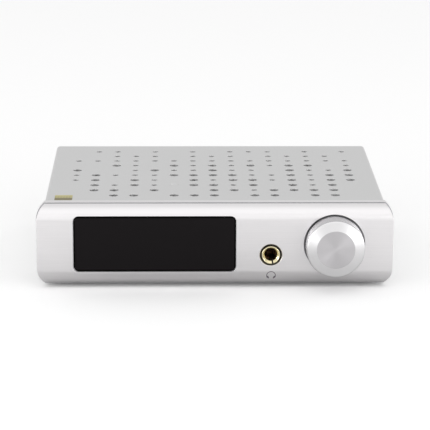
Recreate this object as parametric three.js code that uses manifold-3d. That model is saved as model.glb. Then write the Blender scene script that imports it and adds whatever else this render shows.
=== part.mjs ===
// Desktop headphone amplifier, millimetres, +Z up, front towards -Y.
// Origin: centre of the bounding box in X and Y, on the surface the feet stand on.
import * as THREE from 'three';
import { mergeVertices } from 'three/addons/utils/BufferGeometryUtils.js';
import Module from 'manifold-3d';

const wasm = await Module();
wasm.setup();

// ---- driving dimensions -------------------------------------------------------------------

const GAP = 0.1; // clearance between two pieces that are screwed or pressed together
const FOOT_H = 2; // how far the feet hold the case off the table
const CASE = { w: 181, d: 121.6, h: 44.5, wall: 1.6, edge: 2 };
const PANEL = { w: 190, thick: 10, corner: 13.5, edge: 9.25, edgeIn: 8.5 };
const PANEL_BACK = -55; // Y of the joint between front panel and case
const FACE = PANEL_BACK - PANEL.thick;
const REAR = PANEL_BACK + CASE.d; // Y of the case's back end
const TOP = FOOT_H + CASE.h;

const WINDOW = { x: -32, z: 25, w: 86.4, h: 30.4, r: 3, deep: 1.6, sunk: 0.3 };
const KNOB = { x: 63.4, z: 24.9, r: 15.5, faceR: 10.2, out: 11.2, bevel: 1.1, edge: 0.5, back: 2 };
const ENCODER = { shaft: 3, bushing: 3.75, nut: 5.2, body: 12.4, web: 3, play: 0.08 };
const RECESS = { r: 16.2, deep: 3 };
const DISPLAY = { w: 78, h: 22 };
const JACK = { x: 29.7, z: 18.9, hole: 5.85, collar: 5.6, sleeve: 4.85, bore: 3.3, w: 15, long: 30 };

const VENT = { pitch: 10.84, first: 10.45, big: 2.4, small: 1.65, sides: 8 };
// Rows from the back to the front: O a large hole, o a small one. A shallow blind dimple that
// fills the sixth place of the eighth row isn't cut.
const VENT_ROWS = [
  '.oo.o.o.ooo.o.o', '..ooo.ooo.oooo.', 'ooooooooooooooo', '..Oo.OoOoOoOO.o', 'O..oOooOoo.OooO',
  'oOoooOOOOooOoOO', 'oO.Oo.OoOOoOoOO', '.OoOo.OOoO.OoO.', '.OO.O..OOoOOOO.', '..OO.OOO.OO.OO.',
];

const FLOOR = FOOT_H + CASE.wall; // upper side of the bottom plate
const BOARD = { z: 9.6, thick: 1.6, w: 160, front: PANEL_BACK + 6, back: REAR - 7.5 };
const BOARD_TOP = BOARD.z + BOARD.thick + GAP;
const RIB = 6; // side of the screw ribs along the cover's four inner corners
const INNER_X = CASE.w / 2 - CASE.wall; // inner side of the cover's side walls
const SCREW = { r: 1.2, head: 2.6, thick: 1.6, long: 6 };
const REAR_PLATE = { front: REAR - 2, thick: 1.6 };
const REAR_FACE = REAR_PLATE.front + REAR_PLATE.thick;
const PHONO = { z: 22, r: 4.15, bore: 3.5, pin: 1.6, flange: 5.6, inside: 8, out: 10, xs: [62, 46, 28] };
const USB = { x: 2, w: 9, h: 3.3 };
const INLET = { x: -30, z: 18, w: 9, h: 11 };
const SWITCH = { x: -62, z: 24, w: 19, h: 13, rim: 1, pivot: -1.2, tilt: 8, deep: 12 };
const FEET = { x: 70, front: PANEL_BACK + 16, back: REAR - 22, r: 7, hole: 3 };

// ---- materials ----------------------------------------------------------------------------

const paint = (color, metalness, roughness) =>
  () => new THREE.MeshStandardMaterial({ color, metalness, roughness });
const brushed = paint('#d6d6d8', 1, 0.3);
const blasted = paint('#cfd0d0', 0.8, 0.5);
const steel = paint('#b9bbbe', 1, 0.3);
const brass = paint('#c9b27c', 1, 0.25);
const gold = paint('#c2a83a', 1, 0.35);
const blackGloss = paint('#141314', 0, 0.05);
const blackPlastic = paint('#1c1c1e', 0, 0.5);
const rubber = paint('#1a1a1a', 0, 0.9);
const laminate = paint('#1f4a33', 0, 0.5);
const alloy = paint('#2b2c2e', 0.9, 0.5);
const sleeveBlue = paint('#26324a', 0, 0.4);
const relayCase = paint('#e6e2d2', 0, 0.5);
const phonoColours = [paint('#b3201c', 0, 0.4), paint('#e6e4de', 0, 0.4), paint('#d8741c', 0, 0.4)];

// ---- shapes and solids --------------------------------------------------------------------

// Position-only copy of a geometry with its shared corners merged.
function welded(geometry) {
  const g = geometry.clone();
  g.deleteAttribute('normal');
  g.deleteAttribute('uv');
  return mergeVertices(g, 1e-5);
}

function toSolid(geometry) {
  const g = welded(geometry);
  const mesh = new wasm.Mesh({
    numProp: 3,
    vertProperties: new Float32Array(g.attributes.position.array),
    triVerts: new Uint32Array(g.index.array),
  });
  return new wasm.Manifold(mesh);
}

function toGeometry(solid) {
  const mesh = solid.getMesh();
  const g = new THREE.BufferGeometry();
  g.setAttribute('position', new THREE.BufferAttribute(new Float32Array(mesh.vertProperties), 3));
  g.setIndex(new THREE.BufferAttribute(new Uint32Array(mesh.triVerts), 1));
  g.computeVertexNormals();
  return g;
}

function cut(body, tools) {
  return toGeometry(tools.reduce((solid, tool) => solid.subtract(toSolid(tool)), toSolid(body)));
}

function join(pieces) {
  return toGeometry(pieces.map(toSolid).reduce((a, b) => a.add(b)));
}

// Box between two corners.
function block([x0, y0, z0], [x1, y1, z1]) {
  const g = new THREE.BoxGeometry(x1 - x0, y1 - y0, z1 - z0);
  return g.translate((x0 + x1) / 2, (y0 + y1) / 2, (z0 + z1) / 2);
}

// Round bar along Y from y0 to y1, centred on (x, z).
function barY(x, z, r, y0, y1, sides = 24) {
  return new THREE.CylinderGeometry(r, r, y1 - y0, sides).translate(x, (y0 + y1) / 2, z);
}

// Upright round bar from z0 to z1.
function barZ(x, y, r, z0, z1, sides = 16) {
  const g = new THREE.CylinderGeometry(r, r, z1 - z0, sides).rotateX(Math.PI / 2);
  return g.translate(x, y, (z0 + z1) / 2);
}

// Solid turned about a line along Y: outline points are [radius, y], front end first.
function turnedY(points, x, z, sides = 32) {
  const profile = points.map(([r, y]) => new THREE.Vector2(r, y));
  return new THREE.LatheGeometry(profile, sides).translate(x, 0, z);
}

// Tube about a line along Y.
function tubeY(x, z, outer, inner, y0, y1, sides = 24) {
  const ring = [[inner, y0], [outer, y0], [outer, y1], [inner, y1], [inner, y0]];
  return turnedY(ring, x, z, sides);
}

// Outline in the XZ plane, pushed back from y0 to y1.
function slabXZ(shape, y0, y1, curveSegments = 4) {
  const g = new THREE.ExtrudeGeometry(shape, { depth: y1 - y0, bevelEnabled: false, curveSegments });
  return g.rotateX(Math.PI / 2).translate(0, y1, 0);
}

// Rectangle with round corners, centred on (x, z).
function roundedRect(x, z, w, h, r) {
  const s = new THREE.Shape();
  const [l, b] = [x - w / 2, z - h / 2];
  s.absarc(l + w - r, b + r, r, -Math.PI / 2, 0, false);
  s.absarc(l + w - r, b + h - r, r, 0, Math.PI / 2, false);
  s.absarc(l + r, b + h - r, r, Math.PI / 2, Math.PI, false);
  s.absarc(l + r, b + r, r, Math.PI, 1.5 * Math.PI, false);
  return s;
}

// Solid through rings of points [x, z], anticlockwise from the front, given from back to front.
function loft(rings) {
  const count = rings[0].points.length;
  const positions = rings.flatMap((ring) => ring.points.flatMap(([x, z]) => [x, ring.y, z]));
  const index = [];
  for (let k = 0; k + 1 < rings.length; k += 1) {
    for (let i = 0; i < count; i += 1) {
      const j = (i + 1) % count;
      const [b, f] = [k * count, (k + 1) * count];
      index.push(b + i, b + j, f + j, b + i, f + j, f + i);
    }
  }
  const cap = (ring) => THREE.ShapeUtils.triangulateShape(
    ring.points.map(([x, z]) => new THREE.Vector2(x, z)), []);
  const front = (rings.length - 1) * count;
  cap(rings[0]).forEach(([a, b, c]) => index.push(c, b, a));
  cap(rings[rings.length - 1]).forEach(([a, b, c]) => index.push(front + a, front + b, front + c));
  const g = new THREE.BufferGeometry();
  g.setAttribute('position', new THREE.Float32BufferAttribute(positions, 3));
  g.setIndex(index);
  return g;
}

// ---- the assembly -------------------------------------------------------------------------

const amplifier = new THREE.Group();

function add(name, material, geometry) {
  const mesh = new THREE.Mesh(geometry, material());
  mesh.name = name;
  amplifier.add(mesh);
  return mesh;
}

const corners = [['front_left', -1, 0], ['front_right', 1, 0], ['back_left', -1, 1], ['back_right', 1, 1]];

// ---- front panel: a rounded bar, its top and bottom milled flat ----------------------------

// The outline is a rounded rectangle taller than the panel, cut off level with the case.
function panelOutline(inset) {
  const steps = 5;
  const radius = PANEL.corner - inset;
  const centreX = PANEL.w / 2 - PANEL.corner;
  const reach = PANEL.corner - (PANEL.w - CASE.w) / 2; // from the arc's centre to the cut, in X
  const rise = Math.sqrt(PANEL.corner ** 2 - reach ** 2); // the same, in Z
  const centreZ = CASE.h / 2 - rise;
  const turn = Math.asin((rise - inset) / radius);
  const quarter = [];
  for (let i = 0; i <= steps; i += 1) {
    const a = (turn * i) / steps;
    quarter.push([centreX + radius * Math.cos(a), centreZ + radius * Math.sin(a)]);
  }
  const upper = [...quarter, ...quarter.map(([x, z]) => [-x, z]).reverse()];
  const lower = upper.map(([x, z]) => [-x, -z]);
  return [...upper, ...lower].map(([x, z]) => [x, z + FOOT_H + CASE.h / 2]);
}

function frontPanel() {
  const rings = [{ y: PANEL_BACK, points: panelOutline(0) }];
  const sweep = Math.asin(PANEL.edgeIn / PANEL.edge);
  const steps = 5;
  for (let i = steps; i >= 0; i -= 1) {
    const a = (sweep * i) / steps;
    const inset = PANEL.edgeIn - PANEL.edge * Math.sin(a);
    rings.push({ y: FACE + PANEL.edge * (1 - Math.cos(a)), points: panelOutline(inset) });
  }
  const clear = FACE - 5;
  const behind = PANEL_BACK + 1;
  const pocket = ENCODER.body / 2 + 0.8;
  return cut(loft(rings), [
    slabXZ(roundedRect(WINDOW.x, WINDOW.z, WINDOW.w, WINDOW.h, WINDOW.r), clear, FACE + WINDOW.deep),
    slabXZ(roundedRect(WINDOW.x, WINDOW.z, DISPLAY.w + 2, DISPLAY.h + 2, 1), clear, behind),
    barY(KNOB.x, KNOB.z, RECESS.r, clear, FACE + RECESS.deep, 48),
    barY(KNOB.x, KNOB.z, ENCODER.bushing + GAP, clear, behind),
    block([KNOB.x - pocket, FACE + RECESS.deep + ENCODER.web, KNOB.z - pocket],
      [KNOB.x + pocket, behind, KNOB.z + pocket]),
    barY(JACK.x, JACK.z, JACK.hole, clear, behind, 32),
  ]);
}

add('front_panel', brushed, frontPanel());

add('display_window', blackGloss, slabXZ(
  roundedRect(WINDOW.x, WINDOW.z, WINDOW.w - 0.2, WINDOW.h - 0.2, WINDOW.r - GAP),
  FACE + WINDOW.sunk, FACE + WINDOW.deep - GAP));

add('display_module', blackPlastic, block(
  [WINDOW.x - DISPLAY.w / 2, FACE + WINDOW.deep + GAP, WINDOW.z - DISPLAY.h / 2],
  [WINDOW.x + DISPLAY.w / 2, PANEL_BACK + 2.5, WINDOW.z + DISPLAY.h / 2]));

function frontBoard() {
  const shape = new THREE.Shape();
  const notch = JACK.w / 2 + 2;
  const [left, right, low, high] = [-78, 82, 12, 38];
  const notchTop = JACK.z + 9;
  [[left, low], [JACK.x - notch, low], [JACK.x - notch, notchTop], [JACK.x + notch, notchTop],
    [JACK.x + notch, low], [right, low], [right, high], [left, high],
  ].forEach(([x, z], i) => (i ? shape.lineTo(x, z) : shape.moveTo(x, z)));
  return slabXZ(shape, PANEL_BACK + 2.6, PANEL_BACK + 4.2);
}

add('front_board', laminate, frontBoard());

// ---- headphone jack -----------------------------------------------------------------------

const jackFront = PANEL_BACK + 0.5;

function jackSleeve() {
  const front = FACE - 0.2;
  const slot = block([JACK.bore - 1, front - 1, -0.4], [JACK.sleeve + 1, front + 0.9, 0.4]);
  slot.rotateY(THREE.MathUtils.degToRad(77)).translate(JACK.x, 0, JACK.z);
  return cut(tubeY(JACK.x, JACK.z, JACK.sleeve, JACK.bore, front, jackFront + 3.4, 32), [slot]);
}

function jackBody() {
  const seat = JACK.sleeve + GAP;
  const low = BOARD_TOP - JACK.z;
  const box = block([-JACK.w / 2, jackFront, low], [JACK.w / 2, jackFront + JACK.long, 7]);
  const collar = tubeY(0, 0, JACK.collar, seat - 0.3, FACE + 2.5, jackFront + 1, 32);
  const body = cut(join([box, collar]), [
    barY(0, 0, seat, FACE, jackFront + 3.5, 32),
    barY(0, 0, JACK.bore + 0.1, jackFront, jackFront + JACK.long - 1.5),
    block([-JACK.w, jackFront + 8, -1.8], [-2.9, jackFront + 26, 1.8]),
  ]);
  return body.translate(JACK.x, 0, JACK.z);
}

// Leaf spring with a knee that presses on the plug's tip.
function jackSpring() {
  const leaf = [[-5.2, 9], [-2.65, 19], [-4.6, 24], [-5, 24], [-3.05, 19], [-5.6, 9]];
  const shape = new THREE.Shape(leaf.map(([x, y]) => new THREE.Vector2(x, y)));
  const g = new THREE.ExtrudeGeometry(shape, { depth: 2.8, bevelEnabled: false });
  return g.translate(JACK.x, jackFront, JACK.z - 1.4);
}

add('jack_sleeve', brass, jackSleeve());
add('jack_body', blackPlastic, jackBody());
add('jack_spring', steel, jackSpring());

// ---- volume knob and its push-button encoder ------------------------------------------------

const knobFront = FACE - KNOB.out;
const grubY = FACE - 6;

function volumeKnob() {
  const back = FACE + KNOB.back;
  const cavity = { r: 10, floor: FACE - 3.5 };
  const bore = { r: ENCODER.shaft + 0.06, floor: knobFront + 3 };
  const shoulder = knobFront + KNOB.bevel;
  const turned = turnedY([
    [0, knobFront], [KNOB.faceR, knobFront], [KNOB.r - KNOB.edge, shoulder],
    [KNOB.r, shoulder + KNOB.edge], [KNOB.r, back], [cavity.r, back], [cavity.r, cavity.floor],
    [bore.r, cavity.floor], [bore.r, bore.floor], [0, bore.floor],
  ], KNOB.x, KNOB.z, 48);
  return cut(turned, [barZ(KNOB.x, grubY, 1.4, KNOB.z - KNOB.r - 1, KNOB.z - 1, 12)]);
}

add('volume_knob', brushed, volumeKnob());
add('knob_grub_screw', steel, barZ(KNOB.x, grubY, 1.25, KNOB.z - 9, KNOB.z - ENCODER.shaft - 0.1, 12));

const encoderFront = FACE + RECESS.deep + ENCODER.web + GAP;
const runningBore = (ENCODER.shaft + ENCODER.play) / Math.cos(Math.PI / 24);

add('encoder_bushing', brass, tubeY(KNOB.x, KNOB.z, ENCODER.bushing, runningBore,
  FACE - 2.5, encoderFront - GAP));
add('encoder_nut', steel, cut(
  barY(KNOB.x, KNOB.z, ENCODER.nut, FACE + 0.7, FACE + RECESS.deep - GAP, 6),
  [barY(KNOB.x, KNOB.z, ENCODER.bushing + GAP, FACE, FACE + RECESS.deep)]));
add('encoder_body', steel, cut(
  block([KNOB.x - ENCODER.body / 2, encoderFront, KNOB.z - ENCODER.body / 2],
    [KNOB.x + ENCODER.body / 2, PANEL_BACK + 2.5, KNOB.z + ENCODER.body / 2]),
  [barY(KNOB.x, KNOB.z, ENCODER.shaft + 0.2, encoderFront - 1, PANEL_BACK + 1.8)]));
add('encoder_shaft', steel, barY(KNOB.x, KNOB.z, ENCODER.shaft, FACE - 8, PANEL_BACK - 3.5));
add('encoder_plunger', blackPlastic, barY(KNOB.x, KNOB.z, 2.4, PANEL_BACK - 3.4, PANEL_BACK + 1));

// ---- case ---------------------------------------------------------------------------------

// Folded cover with a screw rib along each inner corner.
function coverProfile() {
  const [w, rib] = [CASE.w / 2, INNER_X - RIB];
  const ribLow = FLOOR + 0.2;
  const underTop = TOP - CASE.wall;
  const right = [[w, FOOT_H], [INNER_X, FOOT_H], [INNER_X, ribLow], [rib, ribLow],
    [rib, ribLow + RIB], [INNER_X, ribLow + RIB], [INNER_X, underTop - RIB],
    [rib, underTop - RIB], [rib, underTop]];
  const shape = new THREE.Shape();
  shape.moveTo(-w, FOOT_H);
  right.slice(1).forEach(([x, z]) => shape.lineTo(-x, z));
  [...right].reverse().forEach(([x, z]) => shape.lineTo(x, z));
  shape.absarc(w - CASE.edge, TOP - CASE.edge, CASE.edge, 0, Math.PI / 2, false);
  shape.absarc(CASE.edge - w, TOP - CASE.edge, CASE.edge, Math.PI / 2, Math.PI, false);
  return shape;
}

const screwX = INNER_X - RIB / 2;
const screwHigh = TOP - CASE.wall - RIB / 2;
const screwLow = FLOOR + 0.2 + RIB / 2;
const coverScrewY = [PANEL_BACK + 12, REAR - 14];

function ventHoles() {
  const holes = [];
  VENT_ROWS.forEach((row, k) => {
    const y = PANEL_BACK + VENT.first + (VENT_ROWS.length - 1 - k) * VENT.pitch;
    [...row].forEach((mark, i) => {
      if (mark === '.') return;
      const x = (i - (row.length - 1) / 2) * VENT.pitch;
      holes.push(barZ(x, y, mark === 'O' ? VENT.big : VENT.small, TOP - 3, TOP + 1, VENT.sides));
    });
  });
  return holes;
}

function topCover() {
  const tools = ventHoles();
  tools.push(block([-INNER_X, REAR_PLATE.front - GAP, FLOOR], [INNER_X, REAR + 1, TOP - CASE.wall]));
  corners.forEach(([, side, end]) => {
    const z = end ? screwHigh : screwLow;
    tools.push(barY(side * screwX, z, SCREW.r + 0.2, REAR - 10, REAR, 8));
    tools.push(barZ(side * screwX, coverScrewY[end], SCREW.r + 0.2, FLOOR, FLOOR + RIB + 2, 8));
  });
  return cut(slabXZ(coverProfile(), PANEL_BACK + GAP, REAR), tools);
}

add('top_cover', blasted, topCover());

const footAt = ([, side, end]) => [side * FEET.x, end ? FEET.back : FEET.front];

function bottomPlate() {
  const edge = INNER_X - GAP;
  const tools = corners.flatMap((corner) => {
    const [, side, end] = corner;
    const [x, y] = footAt(corner);
    return [
      barZ(side * screwX, coverScrewY[end], SCREW.head + 0.2, 0, FLOOR + 1, 12),
      barZ(x, y, SCREW.r + 0.2, 0, FLOOR + 1, 8),
    ];
  });
  return cut(block([-edge, PANEL_BACK + GAP, FOOT_H], [edge, REAR - GAP, FLOOR]), tools);
}

add('bottom_plate', blasted, bottomPlate());

// Screw along +Z: flat head below, shank above.
function screwUp(x, y, z, shank) {
  const head = barZ(x, y, SCREW.head, z, z + SCREW.thick - 0.1, 12);
  return join([head, barZ(x, y, SCREW.r, z, z + shank, 8)]);
}

corners.forEach((corner) => {
  const [name, side, end] = corner;
  const [x, y] = footAt(corner);
  const foot = new THREE.LatheGeometry([
    [FEET.hole, 0], [FEET.r - 1, 0], [FEET.r, 0.8], [FEET.r, FOOT_H - 0.05],
    [SCREW.r + 0.2, FOOT_H - 0.05], [SCREW.r + 0.2, 1.4], [FEET.hole, 1.4], [FEET.hole, 0],
  ].map(([r, z]) => new THREE.Vector2(r, z)), 16);
  add(`foot_${name}`, rubber, foot.rotateX(Math.PI / 2).translate(x, y, 0));
  const footHead = join([barZ(x, y, SCREW.head, 0.4, 1.3, 12), barZ(x, y, SCREW.r, 0.4, FLOOR + 4, 8)]);
  add(`foot_screw_${name}`, steel, footHead);
  add(`cover_screw_${name}`, steel, screwUp(side * screwX, coverScrewY[end], FOOT_H + 0.1, SCREW.long));
  add(`standoff_${name}`, brass, cut(
    barZ(x, y, 3.4, FLOOR + GAP, BOARD.z - GAP, 6),
    [barZ(x, y, SCREW.r + 0.2, FLOOR, BOARD.z, 8)]));
});

// ---- rear panel and its sockets -------------------------------------------------------------

function rearPanel() {
  const [y0, y1] = [REAR_PLATE.front - 1, REAR_FACE + 1];
  const tools = PHONO.xs.map((x) => barY(x, PHONO.z, PHONO.r + 0.3, y0, y1, 16));
  [-1, 1].forEach((side) => [screwLow, screwHigh].forEach((z) => {
    tools.push(barY(side * screwX, z, SCREW.r + 0.2, y0, y1, 8));
  }));
  tools.push(
    slabXZ(roundedRect(USB.x, BOARD_TOP + USB.h / 2, USB.w + 0.5, USB.h + 0.5, 1.8), y0, y1),
    block([INLET.x - INLET.w / 2 - 0.3, y0, INLET.z - INLET.h / 2 - 0.3],
      [INLET.x + INLET.w / 2 + 0.3, y1, INLET.z + INLET.h / 2 + 0.3]),
    block([SWITCH.x - SWITCH.w / 2 - 0.2, y0, SWITCH.z - SWITCH.h / 2 - 0.2],
      [SWITCH.x + SWITCH.w / 2 + 0.2, y1, SWITCH.z + SWITCH.h / 2 + 0.2]),
  );
  const [w, low, high] = [INNER_X - GAP, FLOOR + GAP, TOP - CASE.wall - GAP];
  return cut(block([-w, REAR_PLATE.front, low], [w, REAR_FACE, high]), tools);
}

add('rear_panel', blasted, rearPanel());

[['low_left', -1, screwLow], ['low_right', 1, screwLow], ['high_left', -1, screwHigh],
  ['high_right', 1, screwHigh]].forEach(([name, side, z]) => {
  const x = side * screwX;
  const head = barY(x, z, SCREW.head, REAR_FACE + GAP, REAR_FACE + GAP + SCREW.thick, 12);
  const shank = barY(x, z, SCREW.r, REAR_FACE - SCREW.long, REAR_FACE + 1, 8);
  add(`rear_screw_${name}`, steel, join([head, shank]));
});

PHONO.xs.forEach((x, i) => {
  const inner = REAR_PLATE.front - PHONO.inside;
  const end = REAR_FACE + PHONO.out;
  const flange = [REAR_FACE + GAP, REAR_FACE + 1.7];
  const profile = [[PHONO.bore, inner], [PHONO.r, inner], [PHONO.r, flange[0]],
    [PHONO.flange, flange[0]], [PHONO.flange, flange[1]], [PHONO.r, flange[1]],
    [PHONO.r, end], [PHONO.bore, end], [PHONO.bore, inner]];
  add(`phono_shell_${i + 1}`, steel, turnedY(profile, x, PHONO.z, 16));
  add(`phono_insulator_${i + 1}`, phonoColours[i],
    tubeY(x, PHONO.z, PHONO.bore - 2 * GAP, PHONO.pin, inner, end - 0.6, 16));
});

function usbSocket() {
  const z = BOARD_TOP + USB.h / 2;
  const [y0, y1] = [REAR - 9, REAR_FACE + 0.3];
  const shell = slabXZ(roundedRect(USB.x, z, USB.w, USB.h, 1.6), y0, y1);
  const hollow = slabXZ(roundedRect(USB.x, z, USB.w - 0.6, USB.h - 0.6, 1.3), y0 + 2, y1 + 1);
  const tongue = block([USB.x - 3.3, y0 + 1, z - 0.35], [USB.x + 3.3, y1 - 0.8, z + 0.35]);
  return join([cut(shell, [hollow]), tongue]);
}

add('usb_socket', steel, usbSocket());

function powerInlet() {
  const [y0, y1] = [REAR_FACE - 13, REAR_FACE + 0.4];
  const { x, z, w, h } = INLET;
  const box = block([x - w / 2, y0, z - h / 2], [x + w / 2, y1, z + h / 2]);
  const socket = cut(box, [barY(x, z, 3.2, y0 + 3, y1 + 1)]);
  return join([socket, barY(x, z, 1, y0 + 2, y1 - 1, 12)]);
}

add('power_inlet', blackPlastic, powerInlet());

// ---- power switch: the rocker rests tipped to its off side -----------------------------------

const pivotY = REAR_FACE + SWITCH.pivot;

function switchHousing() {
  const { x, z, w, h, rim, deep } = SWITCH;
  const body = block([x - w / 2, REAR_FACE - deep, z - h / 2], [x + w / 2, REAR_FACE + 1, z + h / 2]);
  const flange = slabXZ(roundedRect(x, z, w + 2, h + 2, 1), REAR_FACE + GAP, REAR_FACE + 1.6, 3);
  const well = block([x - w / 2 + rim, pivotY - 3.8, z - h / 2 + rim],
    [x + w / 2 - rim, REAR_FACE + 3, z + h / 2 - rim]);
  return cut(join([body, flange]), [well]);
}

function switchRocker() {
  const half = { x: 7.4, z: 5.1 };
  const profile = [[-3, -2.5], [3, -2.5], [half.x, 1.5], [half.x, 4.6], [0, 3.6], [-half.x, 4.6],
    [-half.x, 1.5]];
  const shape = new THREE.Shape(profile.map(([x, y]) => new THREE.Vector2(x, y)));
  const g = new THREE.ExtrudeGeometry(shape, { depth: 2 * half.z, bevelEnabled: false });
  return g.translate(0, 0, -half.z);
}

add('switch_housing', blackPlastic, switchHousing());
const rocker = add('switch_rocker', blackPlastic, switchRocker());
rocker.position.set(SWITCH.x, pivotY, SWITCH.z);
rocker.rotation.z = THREE.MathUtils.degToRad(SWITCH.tilt);

// ---- main board and what stands on it --------------------------------------------------------

const boardHoles = corners.map((corner) => barZ(...footAt(corner), SCREW.r + 0.3, 0, TOP, 8));
add('main_board', laminate, cut(
  block([-BOARD.w / 2, BOARD.front, BOARD.z], [BOARD.w / 2, BOARD.back, BOARD.z + BOARD.thick]),
  boardHoles));

[[-8, 30], [8, 30], [-8, 10], [8, 10]].forEach(([x, y], i) => {
  add(`capacitor_${i + 1}`, sleeveBlue, barZ(x, y, 5, BOARD_TOP, BOARD_TOP + 16, 16));
});

[[38, 18], [38, -6]].forEach(([x, y], i) => {
  const turns = new THREE.LatheGeometry([[2, 0], [7, 0], [7, 7], [2, 7], [2, 0]]
    .map(([r, z]) => new THREE.Vector2(r, z)), 20);
  add(`inductor_${i + 1}`, alloy, turns.rotateX(Math.PI / 2).translate(x, y, BOARD_TOP));
});

// Extruded comb of fins along Y.
function heatsink() {
  const fins = 7;
  const size = { w: 38, h: 24, base: 3, fin: 1.6, y0: -22, y1: 24 };
  const left = -66;
  const pitch = (size.w - size.fin) / (fins - 1);
  const pieces = [block([left, size.y0, BOARD_TOP], [left + size.w, size.y1, BOARD_TOP + size.base])];
  for (let i = 0; i < fins; i += 1) {
    const x = left + i * pitch;
    pieces.push(block([x, size.y0, BOARD_TOP + 1], [x + size.fin, size.y1, BOARD_TOP + size.h]));
  }
  return join(pieces);
}

add('heatsink', alloy, heatsink());
add('relay', relayCase, block([52, -4, BOARD_TOP], [62, 16, BOARD_TOP + 11]));

// Flat cable from the front board down to the main board.
function ribbonCable() {
  const run = [[4.4, 20], [9, 20], [12, 17], [12, 11.6], [12.8, 11.6], [12.8, 17.4], [9.4, 20.8],
    [4.4, 20.8]];
  const shape = new THREE.Shape(run.map(([y, z]) => new THREE.Vector2(y, z)));
  const g = new THREE.ExtrudeGeometry(shape, { depth: 18, bevelEnabled: false });
  g.rotateX(Math.PI / 2).rotateZ(Math.PI / 2);
  return g.translate(-30, PANEL_BACK, 0);
}

add('ribbon_cable', relayCase, ribbonCable());

add('foil_label', gold, block([-85.4, PANEL_BACK + 0.6, TOP + 0.02], [-76, PANEL_BACK + 10.2, TOP + 0.12]));

export default amplifier;
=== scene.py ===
"""Looks of a desktop headphone amplifier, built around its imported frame.

Laid out as a Blender add-on and run as a script: one operator makes each piece or group of like
pieces, and main() calls them in order. Every length is in metres.
"""
import math
import random

import bmesh
import bpy
from mathutils import Matrix, Vector


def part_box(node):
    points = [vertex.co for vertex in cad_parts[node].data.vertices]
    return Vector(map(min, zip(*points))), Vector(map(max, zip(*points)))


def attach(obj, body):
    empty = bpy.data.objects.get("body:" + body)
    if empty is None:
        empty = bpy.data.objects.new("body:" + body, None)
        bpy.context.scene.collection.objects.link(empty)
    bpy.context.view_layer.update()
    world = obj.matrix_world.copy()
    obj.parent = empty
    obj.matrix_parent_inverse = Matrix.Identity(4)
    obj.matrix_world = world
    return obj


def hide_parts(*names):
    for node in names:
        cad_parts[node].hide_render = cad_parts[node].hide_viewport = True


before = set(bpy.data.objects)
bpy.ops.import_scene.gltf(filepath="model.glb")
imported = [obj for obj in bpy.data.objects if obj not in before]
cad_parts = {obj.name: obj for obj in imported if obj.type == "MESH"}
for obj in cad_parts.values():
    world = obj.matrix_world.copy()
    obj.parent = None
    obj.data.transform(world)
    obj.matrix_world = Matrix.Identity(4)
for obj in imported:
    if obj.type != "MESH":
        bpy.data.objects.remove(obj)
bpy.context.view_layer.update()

bl_info = {
    "name": "Headphone amplifier",
    "version": (1, 0, 0),
    "blender": (4, 5, 0),
    "location": "3D View > Sidebar > Amplifier",
    "description": "Builds a desktop headphone amplifier with its sockets, knob and vented case",
    "category": "Object",
}

MM = 0.001
CHASSIS, KNOB, ROCKER = "chassis", "knob", "rocker"


def srgb(hex_colour):
    """Linear red, green and blue of a #rrggbb colour."""
    parts = [int(hex_colour[i:i + 2], 16) / 255 for i in (1, 3, 5)]
    return tuple(c / 12.92 if c <= 0.04045 else ((c + 0.055) / 1.055) ** 2.4 for c in parts)


def corners(node):
    """Lowest and highest corner of a node's box."""
    return tuple(Vector(corner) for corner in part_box(node))


def middle(node):
    """Centre of a node's box."""
    low, high = corners(node)
    return (low + high) / 2


def along_y(place):
    """The same place with y at zero, for a piece whose shape holds its own depth."""
    return place.x, 0, place.z


PANEL_LOW, PANEL_HIGH = corners("front_panel")
CASE_LOW, CASE_HIGH = corners("top_cover")
REAR_LOW, REAR_HIGH = corners("rear_panel")
FACE_Y = PANEL_LOW.y
JACK = middle("jack_sleeve")
DIAL = middle("volume_knob")

# Nodes that come in sets.
CORNERS = ("front_left", "front_right", "back_left", "back_right")
SCREWS = {
    "foot": [f"foot_screw_{corner}" for corner in CORNERS],
    "cover": [f"cover_screw_{corner}" for corner in CORNERS],
    "rear": [f"rear_screw_{row}_{side}" for row in ("low", "high") for side in ("left", "right")],
}
PHONO_SHELLS = [f"phono_shell_{i}" for i in (1, 2, 3)]
CAPACITORS = [f"capacitor_{i}" for i in (1, 2, 3, 4)]
INDUCTORS = [f"inductor_{i}" for i in (1, 2)]
TALL = CAPACITORS + INDUCTORS + ["heatsink", "relay", "usb_socket", "power_inlet", "switch_housing",
                                 "ribbon_cable", "jack_body"] + [f"standoff_{c}" for c in CORNERS]


# ---- sizes and colours that a user would change ---------------------------------------------


def length(name, description, millimetres):
    """Length property with its default in millimetres."""
    return bpy.props.FloatProperty(
        name=name, description=description, default=millimetres * MM, unit="LENGTH", precision=5)


def colour(name, description, hex_colour):
    """Colour property with its default as sRGB hex."""
    return bpy.props.FloatVectorProperty(
        name=name, description=description, default=srgb(hex_colour), subtype="COLOR",
        min=0.0, max=1.0)


class AmpPanelSizes(bpy.types.PropertyGroup):
    """Shape of the milled front panel."""
    corner: length("Corner radius", "Radius of the rounded bar that the panel is cut from", 13.5)
    edge: length("Edge radius", "Radius of the rounding round the front", 9.25)
    edge_in: length("Edge width", "How far the rounding reaches in from the outline", 8.5)
    chamfer: length("Chamfer", "Width of the small chamfer down each side", 0.3)
    groove: length("Groove", "Width of the fine groove behind the rounding", 0.5)
    step: length("Step", "How far the front stands inside the strip behind the groove", 0.35)
    bevel: length("Polished bevel", "Width of the bright bevel round the display", 0.26)
    bevel_depth: length("Bevel depth", "How far the bright bevel falls back", 0.1)
    recess: length("Knob recess", "Radius of the round recess behind the knob", 16.2)
    recess_depth: length("Recess depth", "Depth of the knob's recess", 3.0)
    socket_hole: length("Socket hole", "Radius of the hole round the headphone socket", 5.85)


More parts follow.
